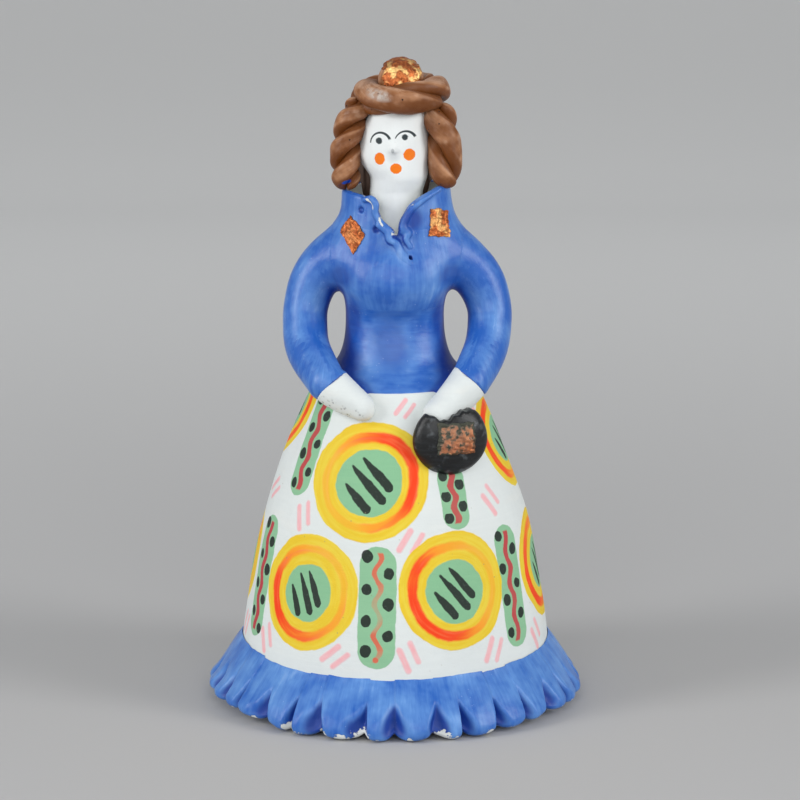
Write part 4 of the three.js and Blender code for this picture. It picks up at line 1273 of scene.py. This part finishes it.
class Jacket:
    """The jacket's clay as distances: the whole of it, and the lumps that it is built from."""

    def __init__(self, chosen):
        waist, bust = chosen.waist / MM / 2, chosen.bust / MM / 2
        self.wall = chosen.collar_wall / MM
        self.shape = through([
            [105, 26.3, 26.3, 0, 0], [106.6, 25.6, 25.6, 0, 0], [112, 19.5, 18.6, 0, 0],
            [118, 16.9, 15.6, 0, 0], [126.6, waist, 14.3, 0, 0], [133, 16.5, 16.2, 1.2, 0],
            [138.5, bust - 2.9, 17.6, 1.8, 0], [146, bust + 0.6, 16.6, 1, 0], [150, 22.9, 15.8, 0.2, 0.4],
            [155.4, 20.2, 15.0, 0, 0.8], [160, 18.6, 14.5, 0, 0.8], [165, 17.8, 14.2, 0, 0.5],
            [172, 17.4, 14.0, 0, 0.2],
        ])
        self.edge = through(COLLAR_EDGE)
        self.arms = {which: Arm(chosen.sleeve / MM / 2, **numbers) for which, numbers in ARMS.items()}

    def torso(self, points):
        body = column(points, self.shape, 104.2, 175)
        bust = ball(points, (0, -11.5, 141), (13.5, 7.6, 9.5))
        return merge(body, bust, 5)

    def collar_cut(self, points):
        """How far points are above the collar's edge, and how far out of the hollow inside it."""
        azimuth = azimuth_of(points)
        edge = self.edge(azimuth)[:, 0]
        slope = (self.edge(azimuth + 2)[:, 0] - self.edge(azimuth - 2)[:, 0]) / 4 / DEGREE / 16
        above = (points[:, 2] - edge) / np.hypot(1, slope)
        inner = column(points, self.shape, -1e3, 1e3, -self.wall)
        return above, np.maximum(inner, THROAT - points[:, 2])

    def on_front(self, place, proud):
        """A point of the front, given as side and height."""
        side, height = place
        half_width, half_depth, forward, aside = self.shape(np.array(height))
        depth = half_depth * math.sqrt(max(1 - ((side - aside) / half_width) ** 2, 0.02)) + forward
        return (side, -depth - proud, height)

    def pinched(self, points, ridges):
        """Distance to ridges pinched up on the front."""
        nearest = np.full(len(points), np.inf)
        for places, radii, proud in ridges:
            path = smooth_path([self.on_front(place, proud) for place in places], len(places) * 3)
            thick = np.interp(np.linspace(0, 1, len(path)), np.linspace(0, 1, len(radii)), radii)
            nearest = np.minimum(nearest, rope(points, path, thick)[0])
        return nearest

    def plain(self, points):
        """Everything but the ruffle and the finger marks."""
        body = self.torso(points)
        for arm in self.arms.values():
            armpit = np.interp(points[:, 2], (130, 146), (2.2, 6.5))
            body = merge(body, arm.clay(points)[0], armpit)
        above, inside = self.collar_cut(points)
        body = cut(body, -inside, 1.2)
        body = cut(body, above, 1.5)
        body = merge(body, self.pinched(points, RIDGES), 0.6)
        return body + wobble(points, 15, 5) * 0.14

    def whole(self, points):
        body = merge(self.plain(points), self.pinched(points, RUFFLES), 1.0)
        for place in PITS:
            centre = np.array(self.on_front(place, 0.2))
            body = cut(body, -(np.linalg.norm(points - centre, axis=1) - 1.0), 0.5)
        return body

    def shade_and_pools(self, points):
        """Painted shade and pooled paint on the front besides the hollows, 0 to 1."""
        total = np.zeros(len(points))
        for x, z, wide, high, depth in SHADE_AND_POOLS:
            bow = (points[:, 0] - x) ** 2 * 0.02
            gap = np.hypot((points[:, 0] - x) / wide, (points[:, 2] - z + bow) / high)
            total = np.maximum(total, depth * np.clip(1.6 - gap, 0, 1))
        return total * (points[:, 1] < 0)

    def bare(self, points, above, inside):
        """Where the collar's paint is rubbed off, along its edge at the throat and inside it."""
        azimuth = azimuth_of(points)
        line = np.clip(0.9 - np.abs(above) / 0.8, 0, 1) * (azimuth > -36) * (azimuth < 4)
        line *= (azimuth < -26) | ((azimuth > -20) & (azimuth < -13)) | (azimuth > -4)
        lining = np.clip(1.9 - np.abs(inside) / 0.35, 0, 1) * np.clip(-above / 0.6, 0, 1)
        return np.maximum(line, lining)

    def strokes(self, points):
        """Brush directions: along the arms, and up and down the body."""
        maps = np.column_stack([azimuth_of(points) * 0.36, points[:, 2]])
        maps[points[:, 2] < 131] = maps[points[:, 2] < 131][:, ::-1]
        torso = self.torso(points)
        for arm in self.arms.values():
            gap, along = arm.clay(points)
            last = len(arm.path) - 1
            out = points - arm.path[np.clip((along * last).round().astype(int), 0, last)]
            around = np.arctan2(out[:, 0] * arm.side, -out[:, 1]) * 7.5
            chosen = gap < torso
            maps[chosen] = np.column_stack([around, along * 62 + 300])[chosen]
        return maps


class CLAY_OT_jacket(bpy.types.Operator):
    """Press bodice, sleeves and collar together as one smooth jacket, in its own pieces"""

    bl_idname = "clay_lady.jacket"
    bl_label = "Jacket, sleeves and collar"

    def execute(self, context):
        jacket = Jacket(context.scene.clay_lady_jacket)

        def arm_share(points, arm):
            return (arm.clay(points)[0] - jacket.torso(points)) / 2

        def split_off(body, place):
            """The clay on one side of a seam, where place is below zero. It ends a little under its
            neighbour."""
            return np.maximum(body + dip(place), place - LAP)

        def bodice(points):
            body = split_off(jacket.whole(points), points[:, 2] - COLLAR_FOOT)
            for arm in jacket.arms.values():
                body = split_off(body, -arm_share(points, arm))
            return body

        def collar(points):
            return split_off(jacket.whole(points), COLLAR_FOOT - points[:, 2])

        def sleeve(arm):
            def distance(points):
                body = split_off(jacket.whole(points), arm_share(points, arm))
                past_cuff = (points - arm.cuff) @ arm.facing
                far = 15 - np.linalg.norm(points - arm.cuff, axis=1)
                return np.maximum(body, np.minimum(past_cuff, far))

            return distance

        def ruffle(points):
            share = (jacket.pinched(points, RUFFLES) - jacket.plain(points)) / 2
            return np.maximum(jacket.whole(points) - 0.02, share - 0.35)

        for name, distance, low, high, pitch, node in (
            ("jacket_body", bodice, (-34, -27, 103), (34, 27, 160), 0.55, "bodice"),
            ("jacket_collar", collar, (-22, -19, 155), (22, 18, 174), 0.38, "collar"),
            ("pinched_ruffle", ruffle, (-8, -22, 142), (8, -8, 162), 0.3, "chest_ridge"),
            ("jacket_right_sleeve", sleeve(jacket.arms["right"]), (-40, -38, 98), (-8, 14, 162), 0.5,
             "right_sleeve"),
            ("jacket_left_sleeve", sleeve(jacket.arms["left"]), (8, -36, 98), (42, 14, 162), 0.5,
             "left_sleeve"),
        ):
            mesh = clay_piece(name, distance, low, high, pitch, FINISH.jacket_paint, "blue_clay", node,
                              around=jacket.whole, strokes=jacket.strokes).data
            points = points_of(mesh)
            above, inside = jacket.collar_cut(points)
            keep_number(mesh, "edge", np.clip(1 + (above + 0.2) / 0.9, 0, 1) * (points[:, 2] > THROAT))
            keep_number(mesh, "bare", jacket.bare(points, above, inside))
            # The hollows take the front's painted shade and pooled paint too.
            keep_number(mesh, "hollow", np.maximum(numbers_of(mesh, "hollow"), jacket.shade_and_pools(points)))
        return {"FINISHED"}


# Hands and bag


def hand_distance(arm):
    """A mitten: a rope from the cuff, with a second one beside it where the fingers lie."""
    stations = through([[0, 5.8], [0.3, 6.3], [0.65, 5.7], [1, arm.hand_end]])
    radii = stations(np.linspace(0, 1, len(arm.hand)))[:, 0]
    low = arm.hand[6:] + np.array([0, -0.4, -1.6])

    def distance(points):
        body = rope(points, arm.hand, radii)[0]
        fingers = rope(points, low, np.linspace(4.2, arm.hand_end - 0.3, len(low)))[0]
        body = merge(body, fingers, 3)
        body = np.maximum(body, -0.4 - (points - arm.cuff) @ arm.facing)
        return body + wobble(points, 7, 8 + arm.side) * 0.26

    return distance


class BagSizes(bpy.types.PropertyGroup):
    """Sizes of the bag."""

    width: length_setting("Width", "Width of the bag", 24.4)
    height: length_setting("Height", "Height of the whole ball it is cut from", 23.4)
    depth: length_setting("Depth", "Depth of the bag", 11)


BAG_CENTRE = over_skirt(29, SEAT_HEIGHT - 13.7, 4.1)
BAG_TURN = 16 * DEGREE
BAG_MOUTH = 9.4


def in_bag(points):
    """Points in the bag's own frame: across, out and up from its middle."""
    x, y, z = (points - BAG_CENTRE).T
    c, s = math.cos(BAG_TURN), math.sin(BAG_TURN)
    return np.column_stack([x * c + y * s, -x * s + y * c, z])


def bag_distance(chosen):
    """A flattened ball with a torn, sagging mouth."""
    radii = np.array([chosen.width, chosen.depth, chosen.height]) / MM / 2

    def distance(points):
        local = in_bag(points)
        body = ball(local, (0, 0, 0), radii)
        sag = 3.0 * np.exp(-((local[:, 0] + 2.8) / 4.2) ** 2)
        torn = local[:, 2] - BAG_MOUTH + sag - 0.35 * np.sin(local[:, 0] * 2.1 + 1)
        return cut(body, torn, 0.7) + wobble(points, 8, 21) * 0.14

    return distance


class CLAY_OT_hands(bpy.types.Operator):
    """Model both mitten hands and the bag"""

    bl_idname = "clay_lady.hands"
    bl_label = "Hands and bag"

    def execute(self, context):
        def strokes(points):
            return np.column_stack([points[:, 2], points[:, 0]])

        for which, arm in Jacket(context.scene.clay_lady_jacket).arms.items():
            clay_piece(f"mitten_{which}_hand", hand_distance(arm), arm.hand.min(0) - 9, arm.hand.max(0) + 9,
                       0.42, FINISH.hand_paint, "white_clay", f"{which}_hand", strokes=strokes)
        reach = np.array([14, 11, 13.5])
        mesh = clay_piece(
            "satin_bag", bag_distance(context.scene.clay_lady_bag), BAG_CENTRE - reach, BAG_CENTRE + reach,
            0.42, FINISH.bag_paint, "black_clay", "bag", strokes=strokes).data
        keep_number(mesh, "edge", np.clip((in_bag(points_of(mesh))[:, 2] - BAG_MOUTH + 2.4) / 2, 0, 1))
        return {"FINISHED"}


# Head


HEAD = through([
    [151, 11.8, 11.8, 0, 0.2], [156, 10.6, 10.8, 0, 0.3], [164, 8.9, 9.3, 0, 0.35],
    [167.5, 8.6, 9.0, 0.0, 0.4], [169.8, 8.8, 9.3, 0.3, 0.8], [172.7, 9.3, 9.9, 0.6, 1.2],
    [176, 10.4, 10.3, 0.5, 0.2], [179.6, 11.3, 10.4, 0.3, -0.4], [184, 11.1, 10.4, 0.2, -0.3],
    [188.6, 10.5, 10.1, 0.1, 0.0],
    [193.5, 9.4, 9.5, 0, 0.8], [198, 5.2, 5.2, 0, 0.6], [199, 1, 1, 0, 0.6],
])


def head_distance(points):
    return column(points, HEAD, 151, 199) + wobble(points, 12, 31) * 0.1


def nose_distance(points):
    return rope(points, [(-0.55, -10.2, 183.2), (-0.4, -10.95, 182.0)], (0.7, 0.8))[0]


def upright(points):
    """Brush directions that run up and down a column."""
    return np.column_stack([np.arctan2(points[:, 0], -points[:, 1]) * 9.5, points[:, 2]])


class CLAY_OT_head(bpy.types.Operator):
    """Model the neck and head, with the pinched nose"""

    bl_idname = "clay_lady.head"
    bl_label = "Neck and head"

    def execute(self, context):
        def whole(points):
            return merge(head_distance(points), nose_distance(points), 1.3)

        def nose(points):
            share = (nose_distance(points) - head_distance(points)) / 2
            return np.maximum(whole(points) - 0.01, share - 0.5)

        for name, distance, low, high, pitch, node in (
            ("painted_head", whole, (-14, -14, 150), (14, 14, 200), 0.42, "neck_and_head"),
            ("pinched_nose", nose, (-4, -14, 178), (3, -6, 188), 0.2, "nose"),
        ):
            clay_piece(name, distance, low, high, pitch, FINISH.face_paint, "white_clay", node, around=whole,
                       strokes=upright)
        return {"FINISHED"}


# Hair


def turns_setting(label, about, turns):
    return bpy.props.FloatProperty(name=label, description=about, default=turns)


class HairSizes(bpy.types.PropertyGroup):
    """Sizes of the hair."""

    crown_rope: length_setting("Crown rope", "Radius of the rope round the crown", 4.9)
    lock_rope: length_setting("Lock rope", "Radius of a side lock", 5.4)
    crown_turns: turns_setting("Crown turns", "Twists of the rope round the crown", -2.0)
    right_turns: turns_setting("Right lock turns", "Twists of the lock at her right", -1.6)
    left_turns: turns_setting("Left lock turns", "Twists of the lock at her left", 0.8)


def strand_formula(g, u, v, sizes):
    """One of two strands twisted about a line: u runs along it and v round the strand."""
    spot = g.node("GeometryNodeSampleCurve", {"Curves": sizes["line"], "Factor": u}, "Position",
                  mode="FACTOR", use_all_curves=False)
    tangent = spot.output("Tangent")
    place = g.scaled(spot, 1000.0)

    def square_to(a, b):
        return g.vectors("NORMALIZE", g.vectors("CROSS_PRODUCT", a, b))

    def stretched(vector, factor):
        return g.node("ShaderNodeVectorMath", {0: vector, "Scale": factor}, operation="SCALE")

    first = square_to(tangent, sizes["Reference"])
    second = square_to(first, tangent)

    def turned(angle):
        return g.moved(stretched(first, g.math("COSINE", angle)), stretched(second, g.math("SINE", angle)))

    turn = sizes["Phase"] + sizes["Turns"] * u * (2 * math.pi)
    turn = turn + sizes["Slackness"] * g.math("SINE", u * (2 * math.pi) + 0.17)
    ends = g.clamp(g.math("MINIMUM", u, 1 - u) / g.largest(sizes["Taper"], 0.001))
    rounded = g.math("SQRT", g.largest(1 - (1 - ends) * (1 - ends), 0.0))
    size = g.node("ShaderNodeMix", {0: g.math("GREATER_THAN", sizes["Taper"], 0.0), 2: 1.0, 3: rounded})
    lumps = 1 + (g.noise(place, 0.13, 1.0) - 0.5) * sizes["Lumps"]
    angle = v * (2 * math.pi)
    c, s = g.math("COSINE", angle), g.math("SINE", angle)
    thick = (sizes["Rope"] * 0.56 * c) * size * lumps
    wide = (sizes["Rope"] * sizes["Breadth"] * s) * size * lumps
    reach = sizes["Rope"] * 0.45 * (0.4 + size * 0.6)
    point = g.moved(place, stretched(turned(turn), reach + thick))
    point = g.moved(point, stretched(turned(turn + math.pi / 2), wide))
    # Painted shade: the crease where the two strands meet, which the hair paint darkens.
    return point, {"hollow": g.step(-c + abs(s) * 0.55, -0.1, 1.2)}


def strand(name, node, path, closed, sizes, steps, length):
    """A twisted strand as a finished piece."""
    mesh = bent_grid(name, FINISH.hair_paint, (steps, STRAND_FACETS + 1), sizes, strand_formula,
                     (path, closed))
    along, around = numbers_of(mesh, "grid_u"), numbers_of(mesh, "grid_v")
    keep_map(mesh, "strokes", np.column_stack([around * 24, along * length]))
    finish_piece(name, mesh, FINISH.hair_paint, "brown_clay", node)


STRAND_FACETS = 40
# Side and height along the lines that the side locks twist about
LOCKS = {
    "right": [(-10.8, 197.8), (-14.2, 190), (-15.7, 183.4), (-16.0, 177), (-15.5, 168.4)],
    "left": [(13.4, 196.4), (15.4, 187), (16.0, 182), (16.1, 176), (16.8, 169)],
}
CROWN_RADIUS, CROWN_HEIGHT, CROWN_TILT = 11, 199.2, 4 * DEGREE
KNOT_CENTRE = np.array([1.8, 0, 203.2])
KNOT_RADII = (7.5, 7.3, 7.4)


def crown_path():
    turns = np.arange(24) * 2 * math.pi / 24
    x, y = CROWN_RADIUS * np.sin(turns), -CROWN_RADIUS * np.cos(turns)
    return np.column_stack([KNOT_CENTRE[0] + x, y, CROWN_HEIGHT + (x + y) * math.tan(CROWN_TILT)])


class CLAY_OT_hair(bpy.types.Operator):
    """Twist the hair round the crown and at both sides, and press on the knot and the back hair"""

    bl_idname = "clay_lady.hair"
    bl_label = "Hair"

    def execute(self, context):
        chosen = context.scene.clay_lady_hair
        crown = {"Rope": chosen.crown_rope / MM, "Turns": chosen.crown_turns, "Taper": 0.0, "Lumps": 0.3,
                 "Breadth": 0.86, "Slackness": 0.9, "Reference": (0.0, 0.0, 1.0)}
        for which, phase in (("front", -0.35), ("back", math.pi - 0.35)):
            strand(f"crown_{which}_twist", f"crown_strand_{which}", crown_path(), True,
                   {**crown, "Phase": phase}, 181, 70)
        rope_size = chosen.lock_rope / MM
        lock = {"Taper": 0.18, "Lumps": 0.4, "Breadth": 0.78, "Slackness": 0.0,
                "Reference": (0.0, 1.0, 0.0)}
        for which, size, turns in (("right", rope_size * 0.92, chosen.right_turns),
                                   ("left", rope_size, chosen.left_turns)):
            path = [(x, -3.3, z) for x, z in LOCKS[which]]
            for layer, phase in (("outer", 0.0), ("inner", math.pi)):
                strand(f"{which}_lock_{layer}_twist", f"{which}_lock_strand_{layer}", path, False,
                       {**lock, "Rope": size, "Turns": turns, "Phase": phase}, 121, 26)

        pad_shape = through([[161, 9, 3.2, -10.2, 0], [168, 12, 4.5, -10.2, 0], [184, 12.5, 5, -10.2, 0],
                             [196, 9, 4.5, -10.2, 0]])
        pad_height, pad_half = 178.5, 17.5

        def knot(points):
            return ball(points, KNOT_CENTRE, KNOT_RADII) + wobble(points, 6, 41) * 0.22

        def pad(points):
            comb = 0.3 * np.sin(points[:, 0] * 2.6 + 0.6 * np.sin(points[:, 2] * 0.3))
            comb *= np.clip((points[:, 2] - 162.5) / 5, 0, 1)
            body = column(points, pad_shape, -1e3, 1e3) + comb
            return cut(body, np.abs(points[:, 2] - pad_height) - pad_half, 3)

        for name, distance, reach, middle, material, slot, node in (
            ("knot_of_hair", knot, (9, 9, 9), KNOT_CENTRE, FINISH.hair_paint, "brown_clay", "top_knot"),
            ("dark_back_hair", pad, (14, 7, 19.5), (0, 10.2, pad_height), FINISH.back_hair_paint,
             "dark_clay", "back_hair"),
        ):
            middle, reach = np.array(middle), np.array(reach)
            clay_piece(name, distance, middle - reach, middle + reach, 0.4, material, slot, node,
                       strokes=upright)
        return {"FINISHED"}


# Metal leaf


LEAF_GRID = 44


def draped(spots, inwards, distance):
    """Points cast inwards onto clay, then drawn to the nearest clay where they missed it, with the
    directions out of the clay there."""
    depth = np.full(len(spots), -3.0)
    for _ in range(30):
        gap = distance(spots + np.outer(depth, inwards))
        depth = np.clip(depth + np.clip(gap, -1, 1) * 0.7, -3, 3)
    spots = spots + np.outer(depth, inwards)
    for _ in range(8):
        gap = distance(spots)
        outwards = np.column_stack([distance(spots + step) - gap for step in np.eye(3) * 0.05])
        outwards /= np.linalg.norm(outwards, axis=1)[:, None]
        spots = spots - outwards * np.clip(gap, -1.5, 1.5)[:, None]
    return spots, outwards


def sheet_faces(count):
    """Faces of a thin square sheet: a grid of points in front, the same behind, and the rim."""
    grid = np.arange(count * count).reshape(count, count)
    front = np.stack([grid[:-1, :-1], grid[1:, :-1], grid[1:, 1:], grid[:-1, 1:]], -1).reshape(-1, 4)
    back = front[:, [0, 3, 2, 1]] + grid.size
    ring = np.concatenate([grid[:, 0], grid[-1, 1:], grid[-2::-1, -1], grid[0, -2:0:-1]])
    onwards = np.roll(ring, -1)
    rim = np.stack([ring, ring + grid.size, onwards + grid.size, onwards], -1)
    return np.vstack([np.stack([front, back], 1).reshape(-1, 4), rim])


def leaf_sheet(name, node, distance, centre, across, up, half_width, half_height, seed, ragged, torn, dirt,
               glint_share):
    """A thin crumpled square that lies on clay, given by the clay's distance."""
    across, up = np.array(across, float), np.array(up, float)
    across /= np.linalg.norm(across)
    up /= np.linalg.norm(up)
    inwards = np.cross(up, across)
    inwards /= np.linalg.norm(inwards)
    centre = np.array(centre, float)
    for _ in range(40):
        centre = centre + inwards * np.clip(distance(centre[None]), -1, 1) * 0.7
    along = np.linspace(-1, 1, LEAF_GRID)
    s, t = (grid.ravel() for grid in np.meshgrid(along, along, indexing="ij"))
    flat = np.column_stack([s, t, np.zeros(len(s))]) * 10
    jag = wobble(flat, 3.2, seed) * ragged + wobble(flat, 1.4, seed + 1) * ragged * 0.5
    border = np.maximum(np.abs(s), np.abs(t))
    grow = (1 + jag * border ** 3) * (1 - torn * np.clip(s + t - 0.6, 0, 1))
    spots = centre + np.outer(s * grow * half_width, across) + np.outer(t * grow * half_height, up)
    spots, outwards = draped(spots, inwards, distance)
    creases = np.abs(wobble(flat, 3.4, seed + 2)) * 0.34 + np.abs(wobble(flat, 1.2, seed + 3)) * 0.12
    points = np.vstack([spots + outwards * (creases + 0.18)[:, None], spots - outwards * 0.04])
    mesh = new_mesh(name, points, sheet_faces(LEAF_GRID))
    keep_number(mesh, "edge", np.tile(np.clip(border * 5 - 4, 0, 1), 2))
    keep_number(mesh, "dirt", np.tile(dirt * np.clip(0.8 + 0.3 * t - 0.2 * s, 0, 1), 2))
    # How much painted highlight each leaf gets.
    keep_number(mesh, "glint_share", np.full(len(points), glint_share))
    finish_piece(name, mesh, FINISH.leaf_metal, "copper_leaf", node)


class CLAY_OT_leaves(bpy.types.Operator):
    """Lay the squares of metal leaf on the chest, the bag and the knot"""

    bl_idname = "clay_lady.leaves"
    bl_label = "Metal leaf"

    def execute(self, context):
        chest = Jacket(context.scene.clay_lady_jacket).whole
        bag = bag_distance(context.scene.clay_lady_bag)
        bag_across = (math.cos(BAG_TURN), math.sin(BAG_TURN), 0)

        def knot(points):
            return ball(points, KNOT_CENTRE, KNOT_RADII)

        for name, node, distance, centre, across, up, half_width, half_height, seed, looks in (
            ("right_chest_square", "right_chest_leaf", chest, (-13.3, -10, 155.2), (0.56, 0.18, 0.81),
             (-0.34, 0.7, 0.63), 3.7, 4.9, 5, dict(ragged=0.05, torn=0.25, dirt=0.2, glint_share=0.15)),
            ("left_chest_square", "left_chest_leaf", chest, (13.9, -10, 158.6), (0.98, 0.98, -0.22),
             (0.111, 0.111, 0.988), 3.6, 4.3, 9, dict(ragged=0.06, torn=0.0, dirt=0.15, glint_share=0.6)),
            ("bag_square", "bag_leaf", bag, BAG_CENTRE + (1.8, -4, 0.9), bag_across, (0, 0, 1), 6.1, 5.0,
             13, dict(ragged=0.04, torn=0.0, dirt=1.5, glint_share=0.1)),
            ("knot_square", "top_knot_leaf", knot, (2.9, -3.6, 206.0), (1, 0, 0.02), (0, 1, 1.15), 6.6,
             5.6, 17, dict(ragged=0.2, torn=0.0, dirt=0.2, glint_share=0.95)),
        ):
            leaf_sheet(name, node, distance, centre, across, up, half_width, half_height, seed, **looks)
        return {"FINISHED"}


# Stage


# The camera, as solved from the photograph: metres, degrees, and pixels in a picture of that width
CAMERA_PLACE = (0.0016, -1.1, 0.31011)
CAMERA_PITCH = 10.876
CAMERA_FOCUS, PICTURE_WIDTH = 3422.1, 800
SENSOR_WIDTH = 36
# Place, width, height and power of each lamp, in metres and watts
LAMPS = {
    "side_left": ((-1.15, -0.6, 0.6), 0.45, 0.9, 8.6),
    "side_right": ((1.15, -0.56, 0.6), 0.45, 0.9, 8.2),
    "front": ((0.0, -1.4, 0.68), 1.2, 0.6, 6.0),
    "top": ((0.0, 0.1, 1.3), 0.8, 0.6, 0.6),
}
LAMPS_LOOK_AT = Vector((0, 0, 0.11))


class CLAY_OT_stage(bpy.types.Operator):
    """Set the floor, the soft lights and the camera"""

    bl_idname = "clay_lady.stage"
    bl_label = "Stage"

    def execute(self, context):
        scene = context.scene

        def place_in_scene(name, data):
            made = bpy.data.objects.new(name, data)
            scene.collection.objects.link(made)
            return made

        bend = [(1.2 + 0.8 * math.sin(a), 0.8 - 0.8 * math.cos(a)) for a in np.linspace(0.1, math.pi / 2, 12)]
        profile = [(-3.0, 0.0), (1.2, 0.0), *bend, (2.0, 4.0)]
        mesh = bpy.data.meshes.new("backdrop")
        mesh.from_pydata([(x, y, z) for y, z in profile for x in (-4.0, 4.0)], [],
                         [(2 * i, 2 * i + 1, 2 * i + 3, 2 * i + 2) for i in range(len(profile) - 1)])
        mesh.polygons.foreach_set("use_smooth", [True] * len(mesh.polygons))

        def paper(g):
            """Lighter towards the back, so that it looks even from the camera."""
            _, y, _ = g.split(g.node("ShaderNodeTexCoord", output="Object"))
            return {"Base Color": g.colour((192, 191, 191), (g.step(y, 0.0, 1.1), (246, 245, 244)),
                                           (g.step(y, 1.2, 1.6), (228, 227, 226)))}

        mesh.materials.append(FINISH.material("backdrop_paper", paper, 0.1, Roughness=0.85))
        place_in_scene("backdrop", mesh)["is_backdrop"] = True

        scene.world = bpy.data.worlds.new("studio")
        scene.world.use_nodes = True
        background = scene.world.node_tree.nodes["Background"].inputs
        background["Color"].default_value = (0.93, 0.97, 1.0, 1.0)
        background["Strength"].default_value = 0.38
        for name, (place, width, height, power) in LAMPS.items():
            lamp = bpy.data.lights.new(name, "AREA")
            lamp.shape, lamp.size, lamp.size_y, lamp.energy = "RECTANGLE", width, height, power
            light = place_in_scene(name, lamp)
            light.location = place
            light.rotation_euler = (light.location - LAMPS_LOOK_AT).to_track_quat("Z", "Y").to_euler()

        camera = bpy.data.cameras.new("camera")
        camera.sensor_width = SENSOR_WIDTH
        camera.lens = CAMERA_FOCUS / PICTURE_WIDTH * SENSOR_WIDTH
        camera.clip_start, camera.clip_end = 0.05, 20
        scene.camera = place_in_scene("camera", camera)
        scene.camera.location = CAMERA_PLACE
        scene.camera.rotation_euler = (math.pi / 2 - CAMERA_PITCH * DEGREE, 0, 0)
        scene.view_settings.view_transform = "Standard"
        return {"FINISHED"}


class CLAY_PT_panel(bpy.types.Panel):
    """Lists the pieces in the sidebar of the 3D view"""

    bl_label = "Clay lady"
    bl_idname = "CLAY_PT_panel"
    bl_space_type = "VIEW_3D"
    bl_region_type = "UI"
    bl_category = "Clay lady"

    def draw(self, context):
        for operator in OPERATORS:
            self.layout.operator(operator.bl_idname)


GROUPS = {
    "clay_lady_paints": Paints, "clay_lady_skirt": SkirtSizes, "clay_lady_jacket": JacketSizes,
    "clay_lady_hair": HairSizes, "clay_lady_bag": BagSizes,
}
OPERATORS = (CLAY_OT_skirt, CLAY_OT_frill, CLAY_OT_jacket, CLAY_OT_hands, CLAY_OT_head, CLAY_OT_hair,
             CLAY_OT_leaves, CLAY_OT_stage)
FINISH = None


def register():
    for made in (*GROUPS.values(), *OPERATORS, CLAY_PT_panel):
        bpy.utils.register_class(made)
    for name, group in GROUPS.items():
        setattr(bpy.types.Scene, name, bpy.props.PointerProperty(type=group))


def unregister():
    for name in GROUPS:
        delattr(bpy.types.Scene, name)
    for made in (CLAY_PT_panel, *reversed(OPERATORS), *reversed(GROUPS.values())):
        bpy.utils.unregister_class(made)


def main():
    global FINISH
    register()
    FINISH = Finish()
    for operator in OPERATORS:
        group, name = operator.bl_idname.split(".")
        getattr(getattr(bpy.ops, group), name)()
    boxes = {"cad": CAD_BOX, "visual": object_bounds()}
    {name: [list(corner) for corner in box] for name, box in boxes.items()}


if __name__ == "__main__":
    main()
